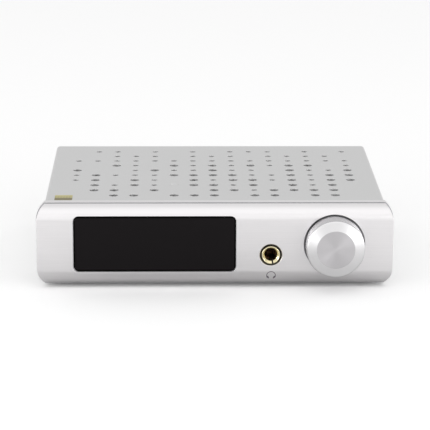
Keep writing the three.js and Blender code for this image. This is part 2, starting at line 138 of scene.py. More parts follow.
class AmpKnobSizes(bpy.types.PropertyGroup):
    """Turned shape of the volume knob."""
    face: length("Face radius", "Radius of the flat front face", 10.1)
    cone: length("Cone depth", "How far the cone falls back from the face", 1.1)
    shoulder: length("Shoulder", "Rounding between the cone and the side", 1.3)


class AmpVentSizes(bpy.types.PropertyGroup):
    """Grid of vent holes in the cover."""
    pitch: length("Pitch", "Distance between neighbouring holes", 10.84)
    first: length("First row", "Distance of the front row from the front panel", 10.45)
    big: length("Large radius", "Radius of a large hole at the surface", 2.55)
    small: length("Small radius", "Radius of a small hole at the surface", 1.75)
    sink: length("Countersink", "Width of the bevel round each hole", 0.12)


class AmpFinishes(bpy.types.PropertyGroup):
    """Colours of the finishes."""
    panel: colour("Panel", "Brushed aluminium of the front panel", "#e6e4e5")
    case: colour("Case", "Blasted aluminium of the cover", "#d7d7d7")
    # The knob face's colour is darker than its cone's: painted shade on the same aluminium.
    dial: colour("Knob", "Turned aluminium of the knob's face", "#c2c0c2")
    brass: colour("Brass", "Plated brass of the socket's sleeve", "#efe4bd")
    window: colour("Window", "Black acrylic of the display", "#161415")
    foil: colour("Foil", "Gold foil of the label", "#cdc482")
    ink: colour("Symbol", "Grey ink of the headphone symbol", "#5f5a60")
    board: colour("Board", "Solder mask of the circuit boards", "#123a28")


class AmpStageSettings(bpy.types.PropertyGroup):
    """Floor, light and camera."""
    floor: length("Floor", "Side of the square floor", 12000)
    focal: bpy.props.FloatProperty(
        name="Focal length", description="Focal length of the camera, in millimetres",
        default=172.34)
    sky: bpy.props.FloatProperty(
        name="Sky", description="Strength of the even light from overhead", default=0.92)
    sky_turn: bpy.props.FloatProperty(
        name="Sky turn", description="How much stronger the sky is in front than overhead",
        default=0.12)
    softbox: bpy.props.FloatProperty(
        name="Softbox", description="Power of the large lamp above the front", default=4.6,
        unit="POWER")
    strips: bpy.props.FloatProperty(
        name="Side strips", description="Power of the lamp on each side", default=5.8, unit="POWER")


SETTINGS = {
    "amp_panel": AmpPanelSizes,
    "amp_knob": AmpKnobSizes,
    "amp_vents": AmpVentSizes,
    "amp_finish": AmpFinishes,
    "amp_stage": AmpStageSettings,
}

# Vent rows from the back to the front: O a large hole, o a small one, u a large blind one.
VENT_ROWS = (
    ".oo.o.o.ooo.o.o", "..ooo.ooo.oooo.", "ooooooooooooooo", "..Oo.OoOoOoOO.o", "O..oOooOoo.OooO",
    "oOoooOOOOooOoOO", "oO.Oo.OoOOoOoOO", ".OoOouOOoO.OoO.", ".OO.O..OOoOOOO.", "..OO.OOO.OO.OO.",
)


# ---- meshes ---------------------------------------------------------------------------------


def eased(points, radius, steps=5, closed=True):
    """Outline with each corner rounded off, never past the middle of a side."""
    count = len(points)
    rounded = []
    for i, point in enumerate(points):
        if not closed and i in (0, count - 1):
            rounded.append(tuple(point))
            continue
        corner = Vector(point)
        before, after = Vector(points[i - 1]) - corner, Vector(points[(i + 1) % count]) - corner
        half = before.angle(after) / 2
        reach = min(radius / max(math.tan(half), 1e-6), before.length * 0.48, after.length * 0.48)
        start, end = corner + before.normalized() * reach, corner + after.normalized() * reach
        for k in range(steps + 1):
            t = k / steps
            rounded.append(tuple(start * (1 - t) ** 2 + corner * (2 * t * (1 - t)) + end * t ** 2))
    return rounded


def box_outline(x, z, width, height, radius, steps=8):
    """Rectangle with true round corners, anticlockwise, centred on (x, z)."""
    outline = []
    for k, (side, up) in enumerate(((1, -1), (1, 1), (-1, 1), (-1, -1))):
        cx, cz = x + side * (width / 2 - radius), z + up * (height / 2 - radius)
        for i in range(steps + 1):
            a = math.radians(90 * (k - 1) + 90 * i / steps)
            outline.append((cx + radius * math.cos(a), cz + radius * math.sin(a)))
    return outline


def box_rings(x, z, width, height, layers):
    """Rings of a rectangle with round corners, from layers of (y, inset, corner radius)."""
    return [[(a, y, b) for a, b in box_outline(x, z, width - 2 * inset, height - 2 * inset, radius)]
            for y, inset, radius in layers]


def lofted(rings):
    """Closed body through rings of equally many points, its two ends capped."""
    body = bmesh.new()
    rows = [[body.verts.new(point) for point in ring] for ring in rings]
    count = len(rows[0])
    for low, high in zip(rows, rows[1:]):
        for i in range(count):
            j = (i + 1) % count
            body.faces.new((low[i], low[j], high[j], high[i]))
    body.faces.new(rows[0][::-1])
    body.faces.new(rows[-1])
    bmesh.ops.remove_doubles(body, verts=body.verts, dist=1e-7)
    bmesh.ops.recalc_face_normals(body, faces=body.faces)
    return body


def turned(profile, steps=64, closed=False):
    """Body turned about the Y axis through the origin, from (radius, y) pairs."""
    body = bmesh.new()
    rows = []
    for radius, y in profile:
        if radius < 1e-7:
            rows.append([body.verts.new((0, y, 0))])
            continue
        turn = [2 * math.pi * i / steps for i in range(steps)]
        rows.append([body.verts.new((radius * math.cos(a), y, radius * math.sin(a))) for a in turn])
    if closed:
        rows.append(rows[0])
    for low, high in zip(rows, rows[1:]):
        for i in range(steps):
            j = (i + 1) % steps
            ring = (low[i % len(low)], low[j % len(low)], high[j % len(high)], high[i % len(high)])
            body.faces.new(dict.fromkeys(ring))
    bmesh.ops.recalc_face_normals(body, faces=body.faces)
    return body


def rod(radius, start, end, steps=32):
    """Round rod along the Y axis."""
    return turned([(0, start), (radius, start), (radius, end), (0, end)], steps)


def prism(outline, start, end, axis="Y"):
    """Outline pushed along an axis: (x, z) points for Y, (x, y) points for Z."""
    place = {"Y": lambda a, b, d: (a, d, b), "Z": lambda a, b, d: (a, b, d)}[axis]
    return lofted([[place(a, b, d) for a, b in outline] for d in (start, end)])


def block(low, high):
    """Plain box between two corners, to be bevelled."""
    return prism([(low[0], low[2]), (high[0], low[2]), (high[0], high[2]), (low[0], high[2])],
                 low[1], high[1])


def stand_up(body):
    """Turns a body made along Y so that it stands along Z."""
    bmesh.ops.rotate(body, verts=body.verts, matrix=Matrix.Rotation(math.pi / 2, 3, "X"))
    return body


def made(name, body, *materials, at=(0, 0, 0), crease=32):
    """Object from a bmesh, smooth but for edges sharper than crease degrees."""
    mesh = bpy.data.meshes.new(name)
    body.to_mesh(mesh)
    body.free()
    for material in materials:
        mesh.materials.append(material)
    piece = placed(name, mesh, at)
    smooth(piece, crease)
    return piece


def placed(name, data, at=(0, 0, 0)):
    """New object in the scene, from a mesh, lamp or camera."""
    piece = bpy.data.objects.new(name, data)
    piece.location = at
    bpy.context.scene.collection.objects.link(piece)
    return piece


def smooth(piece, crease=32):
    """Smooth shading with the sharper edges kept."""
    mesh = piece.data
    mesh.polygons.foreach_set("use_smooth", [True] * len(mesh.polygons))
    mesh.set_sharp_from_angle(angle=math.radians(crease))
    mesh.update()


def applied(piece):
    """Replaces a piece's mesh by what its modifiers make of it."""
    bpy.context.view_layer.update()
    old = piece.data
    evaluated = piece.evaluated_get(bpy.context.evaluated_depsgraph_get())
    piece.data = bpy.data.meshes.new_from_object(evaluated)
    piece.modifiers.clear()
    bpy.data.meshes.remove(old)
    piece.data.name = piece.name


def bevelled(piece, width, segments=3, angle=35):
    """Rounds the edges that are sharper than angle."""
    bevel = piece.modifiers.new("edges", "BEVEL")
    bevel.width = width
    bevel.segments = segments
    bevel.limit_method = "ANGLE"
    bevel.angle_limit = math.radians(angle)
    bevel.use_clamp_overlap = True
    applied(piece)
    smooth(piece)
    return piece


def combined(piece, others, operation="DIFFERENCE"):
    """Cuts other bodies from a piece, or joins them to it, and removes them."""
    for other in others:
        boolean = piece.modifiers.new("cut", "BOOLEAN")
        boolean.operation = operation
        boolean.solver = "EXACT"
        boolean.material_mode = "TRANSFER"
        boolean.object = other
    applied(piece)
    for other in others:
        bpy.data.objects.remove(other)
    smooth(piece)
    return piece


def settle(piece, body, slot, *nodes):
    """Rides a piece on its body and hides the nodes that it stands for; the slot is not used."""
    normals = piece.modifiers.new("flat_faces", "WEIGHTED_NORMAL")
    normals.keep_sharp = True
    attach(piece, body)
    if nodes:
        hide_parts(*nodes)
    return piece


# ---- materials ------------------------------------------------------------------------------


def add(tree, kind, settings=None, inputs=None, links=None):
    """Adds a node: its settings, the values of its inputs, and links {input: (node, output)}.

    Sockets go by their identifiers, which tell apart those that share a name.
    """
    node = tree.nodes.new(kind)
    for key, value in (settings or {}).items():
        setattr(node, key, value)
    sockets = {socket.identifier: socket for socket in node.inputs}
    for key, value in (inputs or {}).items():
        sockets[key].default_value = value
    for key, source in (links or {}).items():
        tree.links.new(output(source), sockets[key])
    return node


def output(source):
    """Output socket of a (node, identifier) pair."""
    node, identifier = source
    return next(socket for socket in node.outputs if socket.identifier == identifier)


def surface(name, base, **sockets):
    """New material with a Principled surface; sockets are its constant inputs."""
    material = bpy.data.materials.new(name)
    material.use_nodes = True
    tree = material.node_tree
    shader = tree.nodes["Principled BSDF"]
    shader.inputs["Base Color"].default_value = (*base, 1)
    for key, value in sockets.items():
        shader.inputs[key.replace("_", " ")].default_value = value
    place = add(tree, "ShaderNodeTexCoord")
    return material, tree, shader, place


def finest(size_mm):
    """Noise scale for features of a size in millimetres, on coordinates in metres."""
    return 1 / (size_mm * MM)


def waves(period_mm):
    """Wave scale for a period in millimetres: a wave texture turns once per pi / 10 units."""
    return math.pi / 10 / (period_mm * MM)


def tint(tree, shader, source, base, spread):
    """Lightens and darkens the base colour a little, by a value between 0.3 and 0.7."""
    ramp = add(tree, "ShaderNodeMapRange", None,
               {"From Min": 0.3, "From Max": 0.7, "To Min": 1 - spread, "To Max": 1 + spread},
               {"Value": source})
    shade = add(tree, "ShaderNodeMix", {"data_type": "RGBA", "blend_type": "MULTIPLY"},
                {"Factor_Float": 1.0, "A_Color": (*base, 1)}, {"B_Color": (ramp, "Result")})
    tree.links.new(output((shade, "Result_Color")), shader.inputs["Base Color"])


def relief(tree, shader, source, strength, distance_mm):
    """Bump from a height between 0 and 1."""
    bump = add(tree, "ShaderNodeBump", None,
               {"Strength": strength, "Distance": distance_mm * MM}, {"Height": source})
    tree.links.new(output((bump, "Normal")), shader.inputs["Normal"])


def roughness(tree, shader, source, low, high):
    """Roughness that follows a value between 0.3 and 0.7."""
    spread = add(tree, "ShaderNodeMapRange", None,
                 {"From Min": 0.3, "From Max": 0.7, "To Min": low, "To Max": high},
                 {"Value": source})
    tree.links.new(output((spread, "Result")), shader.inputs["Roughness"])


def blasted_aluminium(name, base):
    """Aluminium, bead blasted and clear anodised: an even matt silver with a very fine grain."""
    material, tree, shader, place = surface(name, base, Metallic=1.0, Roughness=0.5)
    # The real grain is about 0.1 mm; it is drawn at 0.35 mm so that it shows.
    grain = add(tree, "ShaderNodeTexNoise", None,
                {"Scale": finest(0.35), "Detail": 2.0, "Roughness": 0.6},
                {"Vector": (place, "Object")})
    cloud = add(tree, "ShaderNodeTexNoise", None,
                {"Scale": finest(38), "Detail": 2.0}, {"Vector": (place, "Object")})
    relief(tree, shader, (grain, "Fac"), 0.16, 0.03)
    roughness(tree, shader, (cloud, "Fac"), 0.47, 0.54)
    tint(tree, shader, (grain, "Fac"), base, 0.025)
    return material


def brushed_aluminium(name, base):
    """Aluminium, brushed along its length and clear anodised: satin, with hairlines along X."""
    material, tree, shader, place = surface(name, base, Metallic=1.0, Roughness=0.34)
    # Hairlines about 0.15 mm apart are drawn at 0.3 mm so that they show, some 25 mm long.
    stretch = add(tree, "ShaderNodeMapping", None, {"Scale": (0.012, 1.0, 1.0)},
                  {"Vector": (place, "Object")})
    hair = add(tree, "ShaderNodeTexNoise", None,
               {"Scale": finest(0.3), "Detail": 3.0, "Roughness": 0.6},
               {"Vector": (stretch, "Vector")})
    relief(tree, shader, (hair, "Fac"), 0.10, 0.03)
    roughness(tree, shader, (hair, "Fac"), 0.30, 0.38)
    tint(tree, shader, (hair, "Fac"), base, 0.02)
    return material


def turned_aluminium(name, base, rough, ring_mm):
    """Aluminium, turned on a lathe and clear anodised: fine rings about the knob's axis."""
    material, tree, shader, place = surface(name, base, Metallic=1.0, Roughness=rough,
                                            Anisotropic=0.6, Anisotropic_Rotation=0.25)
    tangent = add(tree, "ShaderNodeTangent", {"direction_type": "RADIAL", "axis": "Y"})
    tree.links.new(output((tangent, "Tangent")), shader.inputs["Tangent"])
    rings = add(tree, "ShaderNodeTexWave", {"wave_type": "RINGS", "rings_direction": "Y"},
                {"Scale": waves(ring_mm), "Distortion": 0.4, "Detail": 2.0, "Detail Scale": 3.0},
                {"Vector": (place, "Object")})
    relief(tree, shader, (rings, "Fac"), 0.12, 0.01)
    roughness(tree, shader, (rings, "Fac"), rough - 0.03, rough + 0.03)
    return material


def bright_metal(name, base, rough, wear_mm=1.5):
    """Polished or plated metal: clear reflections, faintly uneven from handling."""
    material, tree, shader, place = surface(name, base, Metallic=1.0, Roughness=rough)
    smear = add(tree, "ShaderNodeTexNoise", None, {"Scale": finest(wear_mm), "Detail": 4.0},
                {"Vector": (place, "Object")})
    roughness(tree, shader, (smear, "Fac"), rough * 0.8, rough * 1.3)
    relief(tree, shader, (smear, "Fac"), 0.05, 0.02)
    return material


def moulded_plastic(name, base, rough=0.42, grain_mm=0.5):
    """ABS, injection moulded with a spark-eroded texture: satin, with a fine pebble grain."""
    material, tree, shader, place = surface(name, base, Roughness=rough, IOR=1.53)
    pebble = add(tree, "ShaderNodeTexVoronoi", {"feature": "SMOOTH_F1"},
                 {"Scale": finest(grain_mm), "Smoothness": 0.6}, {"Vector": (place, "Object")})
    relief(tree, shader, (pebble, "Distance"), 0.12, 0.05)
    roughness(tree, shader, (pebble, "Distance"), rough - 0.05, rough + 0.06)
    return material


def rubber(name, base):
    """Nitrile rubber, moulded: dull black with a dusty bloom."""
    material, tree, shader, place = surface(name, base, Roughness=0.85, IOR=1.52)
    bloom = add(tree, "ShaderNodeTexNoise", None, {"Scale": finest(1.2), "Detail": 5.0},
                {"Vector": (place, "Object")})
    relief(tree, shader, (bloom, "Fac"), 0.2, 0.05)
    tint(tree, shader, (bloom, "Fac"), base, 0.25)
    return material


def black_acrylic(name, base, centre, half, border):
    """Acrylic, cast and printed black behind: glossy, its border blacker than the screen."""
    material, tree, shader, place = surface(name, base, Roughness=0.06, IOR=1.49,
                                            Specular_IOR_Level=0.04)
    offset = add(tree, "ShaderNodeVectorMath", {"operation": "SUBTRACT"}, {"Vector_001": centre},
                 {"Vector": (place, "Object")})
    reach = add(tree, "ShaderNodeVectorMath", {"operation": "ABSOLUTE"}, None,
                {"Vector": (offset, "Vector")})
    past = add(tree, "ShaderNodeVectorMath", {"operation": "SUBTRACT"},
               {"Vector_001": (half[0] - border, 0, half[2] - border)},
               {"Vector": (reach, "Vector")})
    parts = add(tree, "ShaderNodeSeparateXYZ", None, None, {"Vector": (past, "Vector")})
    edge = add(tree, "ShaderNodeMath", {"operation": "MAXIMUM"}, None,
               {"Value": (parts, "X"), "Value_001": (parts, "Z")})
    mask = add(tree, "ShaderNodeMapRange", None,
               {"From Min": -0.1 * MM, "From Max": 0.1 * MM, "To Min": 0.0, "To Max": 1.0},
               {"Value": (edge, "Value")})
    ink = add(tree, "ShaderNodeMix", {"data_type": "RGBA"},
              {"A_Color": (*base, 1), "B_Color": (*srgb("#020202"), 1)},
              {"Factor_Float": (mask, "Result")})
    tree.links.new(output((ink, "Result_Color")), shader.inputs["Base Color"])
    return material


def circuit_board(name, base):
    """Glass-epoxy laminate under solder mask: glossy green, with copper tracks as relief."""
    material, tree, shader, place = surface(name, base, Roughness=0.3, IOR=1.55)
    # Tracks and pads sit on a grid of about 1.6 mm.
    tracks = add(tree, "ShaderNodeTexBrick", {"offset": 0.5},
                 {"Color1": (*base, 1), "Color2": (*[c * 1.7 for c in base], 1),
                  "Mortar": (*[c * 0.6 for c in base], 1), "Scale": finest(6.4),
                  "Mortar Size": 0.03, "Brick Width": 0.9, "Row Height": 0.25},
                 {"Vector": (place, "Object")})
    tree.links.new(output((tracks, "Color")), shader.inputs["Base Color"])
    relief(tree, shader, (tracks, "Fac"), 0.3, 0.05)
    return material


def gold_foil(name, gold, dark, low, high):
    """Metallised polyester label: pale gold, with a row of dark dashes and a dark front band."""
    material, tree, shader, place = surface(name, gold, Metallic=1.0, Roughness=0.33)
    parts = add(tree, "ShaderNodeSeparateXYZ", None, None, {"Vector": (place, "Object")})
    depth = high - low
    band = add(tree, "ShaderNodeMapRange", None,
               {"From Min": low + 0.39 * depth, "From Max": low + 0.42 * depth, "To Min": 1.0,
                "To Max": 0.0}, {"Value": (parts, "Y")})
    # Dashes about 1.1 mm by 3 mm stand where a label carries its print.
    dashes = add(tree, "ShaderNodeTexBrick", {"offset": 0.3},
                 {"Color1": (0, 0, 0, 1), "Color2": (0.5, 0.5, 0.5, 1), "Mortar": (1, 1, 1, 1),
                  "Scale": finest(3.4), "Mortar Size": 0.06, "Brick Width": 0.45,
                  "Row Height": 0.33}, {"Vector": (place, "Object")})
    row = add(tree, "ShaderNodeMapRange", None,
              {"From Min": low + 0.76 * depth, "From Max": low + 0.8 * depth, "To Min": 0.55,
               "To Max": 0.0}, {"Value": (parts, "Y")})
    gaps = add(tree, "ShaderNodeMath", {"operation": "SUBTRACT"}, {"Value": 1.0},
               {"Value_001": (dashes, "Fac")})
    marks = add(tree, "ShaderNodeMath", {"operation": "MULTIPLY"}, None,
                {"Value": (row, "Result"), "Value_001": (gaps, "Value")})
    # Gold rules 0.9 mm apart cross the dark band.
    rules = add(tree, "ShaderNodeTexWave", {"bands_direction": "Y"}, {"Scale": waves(0.9)},
                {"Vector": (place, "Object")})
    rule = add(tree, "ShaderNodeMapRange", None,
               {"From Min": 0.8, "From Max": 0.9, "To Min": 1.0, "To Max": 0.6},
               {"Value": (rules, "Fac")})
    ruled = add(tree, "ShaderNodeMath", {"operation": "MULTIPLY"}, None,
                {"Value": (band, "Result"), "Value_001": (rule, "Result")})
    amount = add(tree, "ShaderNodeMath", {"operation": "MAXIMUM"}, None,
                 {"Value": (ruled, "Value"), "Value_001": (marks, "Value")})
    printed = add(tree, "ShaderNodeMix", {"data_type": "RGBA"},
                  {"A_Color": (*gold, 1), "B_Color": (*dark, 1)},
                  {"Factor_Float": (amount, "Value")})
    tree.links.new(output((printed, "Result_Color")), shader.inputs["Base Color"])
    crinkle = add(tree, "ShaderNodeTexNoise", None, {"Scale": finest(2.5), "Detail": 3.0},
                  {"Vector": (place, "Object")})
    relief(tree, shader, (crinkle, "Fac"), 0.15, 0.05)
    return material


def copper_winding(name, base, turns):
    """Enamelled copper wire wound side by side round a ring core: ridges that run outwards."""
    material, tree, shader, place = surface(name, base, Metallic=1.0, Roughness=0.25)
    angle = add(tree, "ShaderNodeTexGradient", {"gradient_type": "RADIAL"}, None,
                {"Vector": (place, "Object")})
    count = add(tree, "ShaderNodeMath", {"operation": "MULTIPLY"},
                {"Value_001": turns * 2 * math.pi}, {"Value": (angle, "Fac")})
    wire = add(tree, "ShaderNodeMath", {"operation": "SINE"}, None, {"Value": (count, "Value")})
    relief(tree, shader, (wire, "Value"), 0.8, 0.25)
    return material


MATERIALS = {}


def finishes(scene):
    """Every material by its short name, made at the first call."""
    if not MATERIALS:
        mix_materials(scene.amp_finish)
    return MATERIALS


def mix_materials(finish):
    """Makes the materials from the colours of the finishes."""
    window_low, window_high = corners("display_window")
    label_low, label_high = corners("foil_label")
    window = middle("display_window")
    half = (window_high - window_low) / 2
    MATERIALS.update({
        "brushed": brushed_aluminium("brushed_anodised_aluminium", tuple(finish.panel)),
        "blasted": blasted_aluminium("bead_blasted_aluminium", tuple(finish.case)),
        # The knob's face is a darker copy of its aluminium: painted shade.
        "dial_face_painted_shade": turned_aluminium("turned_aluminium_face", tuple(finish.dial), 0.42, 0.12),
        "dial_side": turned_aluminium("turned_aluminium_side", srgb("#cbcacc"), 0.24, 0.2),
        "dial_cone": turned_aluminium("turned_aluminium_cone", srgb("#e2e1e2"), 0.35, 0.12),
        "bright": bright_metal("diamond_cut_aluminium", srgb("#f2f2f3"), 0.12),
        "brass": bright_metal("plated_brass", tuple(finish.brass), 0.16),
        "nickel": bright_metal("nickel_plated_steel", srgb("#c9c8c4"), 0.18),
        "zinc": bright_metal("zinc_plated_steel", srgb("#b9bbbf"), 0.28, 0.8),
        "black": moulded_plastic("black_moulded_abs", srgb("#18181a")),
        # Near-black for the socket body, and painted shade on the walls of the sleeve's slot and of
        # the inlet and switch wells.
        "black_nylon_and_shade": moulded_plastic("black_nylon", srgb("#0a0a0b"), 0.5),
        "liner": moulded_plastic("brown_nylon", srgb("#947a73"), 0.45),
        "bronze": bright_metal("phosphor_bronze", srgb("#5c463c"), 0.4),
        "red": moulded_plastic("red_moulded_abs", srgb("#a8201b"), 0.35),
        "white": moulded_plastic("white_moulded_abs", srgb("#e4e2dc"), 0.35),
        "orange": moulded_plastic("orange_moulded_abs", srgb("#cf6a15"), 0.35),
        "cream": moulded_plastic("cream_moulded_nylon", srgb("#d8d2bd"), 0.45),
        "sleeve": moulded_plastic("blue_pvc_sleeve", srgb("#22304c"), 0.3),
        "rubber": rubber("nitrile_rubber", srgb("#151516")),
        "acrylic": black_acrylic("black_cast_acrylic", tuple(finish.window), window, half,
                                 0.9 * MM),
        "board": circuit_board("green_solder_mask", tuple(finish.board)),
        "foil": gold_foil("gold_foil", tuple(finish.foil), srgb("#6c6038"), label_low.y,
                          label_high.y),
        "anodised_and_shade": blasted_aluminium("black_anodised_aluminium", srgb("#242527")),
        # Darker aluminium on the walls of the panel's groove and knob recess: painted shade.
        "milled": blasted_aluminium("milled_aluminium", srgb("#a8a8ab")),
        "ferrite": moulded_plastic("sintered_ferrite", srgb("#232324"), 0.6, 0.3),
        "copper": copper_winding("enamelled_copper", srgb("#b5651d"), 34),
        "ink": moulded_plastic("screen_ink", tuple(finish.ink), 0.5, 0.2),
    })


# ---- front panel ----------------------------------------------------------------------------


ARC_STEPS, ROUNDING_STEPS = 16, 22
WINDOW_GAP, WINDOW_CORNER = 0.25 * MM, 3 * MM
BUSHING_HOLE = 3.85 * MM


def panel_ring(sizes, inset, y, side=0.0):
    """Outline of the panel at one depth: a rounded bar, its top and bottom cut off flat.

    The flats lie inset from the full height, and the ends lie side in from the full width.
    """
    centre_z = (PANEL_LOW.z + PANEL_HIGH.z) / 2
    half_x, half_z = PANEL_HIGH.x, PANEL_HIGH.z - centre_z
    overhang = PANEL_HIGH.x - CASE_HIGH.x
    rise = math.sqrt(sizes.corner ** 2 - (sizes.corner - overhang) ** 2)
    arc = Vector((half_x - sizes.corner, half_z - rise))
    radius = sizes.corner - side
    turn = math.asin((rise - inset) / radius)
    quarter = [arc + radius * Vector((math.cos(a), math.sin(a)))
               for a in (turn * i / ARC_STEPS for i in range(ARC_STEPS + 1))]
    upper = [(p.x, p.y) for p in quarter] + [(-p.x, p.y) for p in reversed(quarter)]
    return [(x, y, z + centre_z) for x, z in upper + [(-x, -z) for x, z in upper]]


def edge_depth(sizes, inset):
    """How far behind the face the rounding lies, at a distance in from the outline."""
    reach = max(sizes.edge_in - inset, 0.0)
    return sizes.edge - math.sqrt(sizes.edge ** 2 - reach ** 2)


class AMP_OT_front_panel(bpy.types.Operator):
    """Mills the front panel: rounding, groove, display pocket, knob recess and socket hole"""
    bl_idname = "amp.front_panel"
    bl_label = "Front panel"

    def execute(self, context):
        sizes, paint = context.scene.amp_panel, finishes(context.scene)
        crease = FACE_Y + edge_depth(sizes, sizes.step)
        groove, chamfer = sizes.groove, sizes.chamfer
        rings = [
            panel_ring(sizes, chamfer, PANEL_HIGH.y, chamfer),
            panel_ring(sizes, 0.0, PANEL_HIGH.y - chamfer),
            panel_ring(sizes, 0.0, crease + groove),
            panel_ring(sizes, 2 * groove, crease + groove, 2 * groove),
            panel_ring(sizes, 2 * groove, crease, 2 * groove),
        ]
        sweep = math.asin((sizes.edge_in - sizes.step) / sizes.edge)
        for i in range(ROUNDING_STEPS + 1):
            a = sweep * (1 - i / ROUNDING_STEPS)
            inset = sizes.edge_in - sizes.edge * math.sin(a)
            back = sizes.edge * (1 - math.cos(a))
            side = sizes.step + max(chamfer - back, 0.0)
            rings.append(panel_ring(sizes, inset, FACE_Y + back, side))
        panel = made("front_panel_milled", lofted(rings), paint["brushed"], paint["milled"])
        # The fine groove's faces take the darker aluminium: painted shade in the groove.
        slack = 0.01 * MM
        for face in panel.data.polygons:
            face.material_index = int(crease - slack < face.center.y < crease + groove + slack)
        combined(panel, self.tools(sizes, paint))
        settle(panel, CHASSIS, "brushed_aluminium", "front_panel")
        return {"FINISHED"}

    def tools(self, sizes, paint):
        """Cutters for the pocket, the openings behind it, the recess and the socket hole."""
        brushed, clear = paint["brushed"], 1 * MM
        behind, gap, wider = PANEL_HIGH.y + clear, WINDOW_GAP, 2 * sizes.bevel
        low, high = corners("display_window")
        x, z = (low.x + high.x) / 2, (low.z + high.z) / 2
        width, height = high.x - low.x + 2 * gap, high.z - low.z + 2 * gap
        rings = box_rings(x, z, width, height, (
            (FACE_Y - sizes.bevel_depth, -wider, WINDOW_CORNER + wider),
            (FACE_Y + sizes.bevel_depth, 0.0, WINDOW_CORNER), (high.y + gap, 0.0, WINDOW_CORNER)))
        pocket = made("pocket", lofted(rings), brushed, paint["bright"])
        # Only the sloping faces are the polished bevel, not the walls or the floor.
        for face in pocket.data.polygons:
            face.material_index = int(0.2 < abs(face.normal.y) < 0.995)
        low, high = corners("display_module")
        screen = made("screen_hole", block((low.x - clear, FACE_Y, low.z - clear),
                                           (high.x + clear, behind, high.z + clear)), brushed)
        # The mouths of the two round openings are chamfered at 45 degrees.
        mouth, floor = 0.1 * MM, FACE_Y + sizes.recess_depth
        # The recess walls take the darker aluminium: painted shade in the knob's recess.
        recess = made("recess", turned([
            (0, FACE_Y - clear), (sizes.recess + 1.1 * MM, FACE_Y - clear),
            (sizes.recess, FACE_Y + mouth), (sizes.recess, floor), (0, floor)], 128),
            paint["milled"], at=along_y(DIAL))
        through = made("bushing_hole", rod(BUSHING_HOLE, FACE_Y, behind, 48), brushed,
                       at=along_y(DIAL))
        low, high = corners("encoder_body")
        room = 0.8 * MM
        encoder = made("encoder_pocket", block(
            (low.x - room, low.y - gap, low.z - room),
            (high.x + room, behind, high.z + room)), brushed)
        mouth = 0.3 * MM
        socket = made("socket_hole", turned([
            (0, FACE_Y - clear), (sizes.socket_hole + 1.3 * MM, FACE_Y - clear),
            (sizes.socket_hole, FACE_Y + mouth), (sizes.socket_hole, behind), (0, behind)], 96),
            brushed, at=along_y(JACK))
        return [pocket, screen, recess, through, encoder, socket]


class AMP_OT_display(bpy.types.Operator):
    """Lays the black acrylic window into its pocket"""
    bl_idname = "amp.display"
    bl_label = "Display window"

    def execute(self, context):
        paint = finishes(context.scene)
        low, high = corners("display_window")
        x, z = (low.x + high.x) / 2, (low.z + high.z) / 2
        corner = 2.9 * MM
        layers = [(y, inset, corner - inset) for y, inset in (
            (low.y, 0.25 * MM), (low.y + 0.08 * MM, 0.08 * MM), (low.y + 0.25 * MM, 0.0),
            (high.y, 0.0))]
        rings = box_rings(x, z, high.x - low.x, high.z - low.z, layers)
        window = made("display_window_acrylic", lofted(rings), paint["acrylic"])
        settle(window, CHASSIS, "black_acrylic", "display_window")
        return {"FINISHED"}


class AMP_OT_symbol(bpy.types.Operator):
    """Prints the small headphone symbol under the socket, on the panel's rounding"""
    bl_idname = "amp.symbol"
    bl_label = "Headphone symbol"

    def execute(self, context):
        sizes, paint = context.scene.amp_panel, finishes(context.scene)
        centre, radius, thin, thick = Vector((JACK.x + 0.2 * MM, 7.4 * MM)), 2.35, 0.4, 0.75
        start, sweep, steps = 215, 250, 32
        bow = [centre + radius * MM * Vector((math.cos(a), math.sin(a)))
               for a in (math.radians(start - sweep * i / steps) for i in range(steps + 1))]
        strokes = [(bow, thin * MM)]
        foot, top = Vector((1.25, -1.75)), Vector((1.95, -0.2))
        for side in (-1, 1):
            cup = [centre + Vector((side * x, z)) * MM for x, z in (foot, (foot + top) / 2, top)]
            strokes.append((cup, thick * MM))
        body = bmesh.new()
        for path, width in strokes:
            self.stroke(body, sizes, path, width)
        bmesh.ops.recalc_face_normals(body, faces=body.faces)
        symbol = made("headphone_symbol", body, paint["ink"])
        settle(symbol, CHASSIS, "black_plastic")
        return {"FINISHED"}

    def stroke(self, body, sizes, path, width):
        """Thin printed line along a path, laid on the panel's surface."""
        rows, proud, sunk = [], 0.03 * MM, 0.05 * MM
        for i, point in enumerate(path):
            ahead, behind = path[min(i + 1, len(path) - 1)], path[max(i - 1, 0)]
            along = (ahead - behind).normalized()
            across = Vector((-along.y, along.x)) * width / 2
            row = []
            for x, z in (point + across, point - across):
                y = FACE_Y + edge_depth(sizes, z - PANEL_LOW.z)
                row += [body.verts.new((x, y - proud, z)), body.verts.new((x, y + sunk, z))]
            rows.append(row)
        for (a, b, c, d), (e, f, g, h) in zip(rows, rows[1:]):
            for ring in ((a, e, g, c), (b, d, h, f), (a, b, f, e), (c, g, h, d)):
                body.faces.new(ring)
        body.faces.new((rows[0][0], rows[0][2], rows[0][3], rows[0][1]))
        body.faces.new((rows[-1][0], rows[-1][1], rows[-1][3], rows[-1][2]))


# ---- headphone socket -----------------------------------------------------------------------


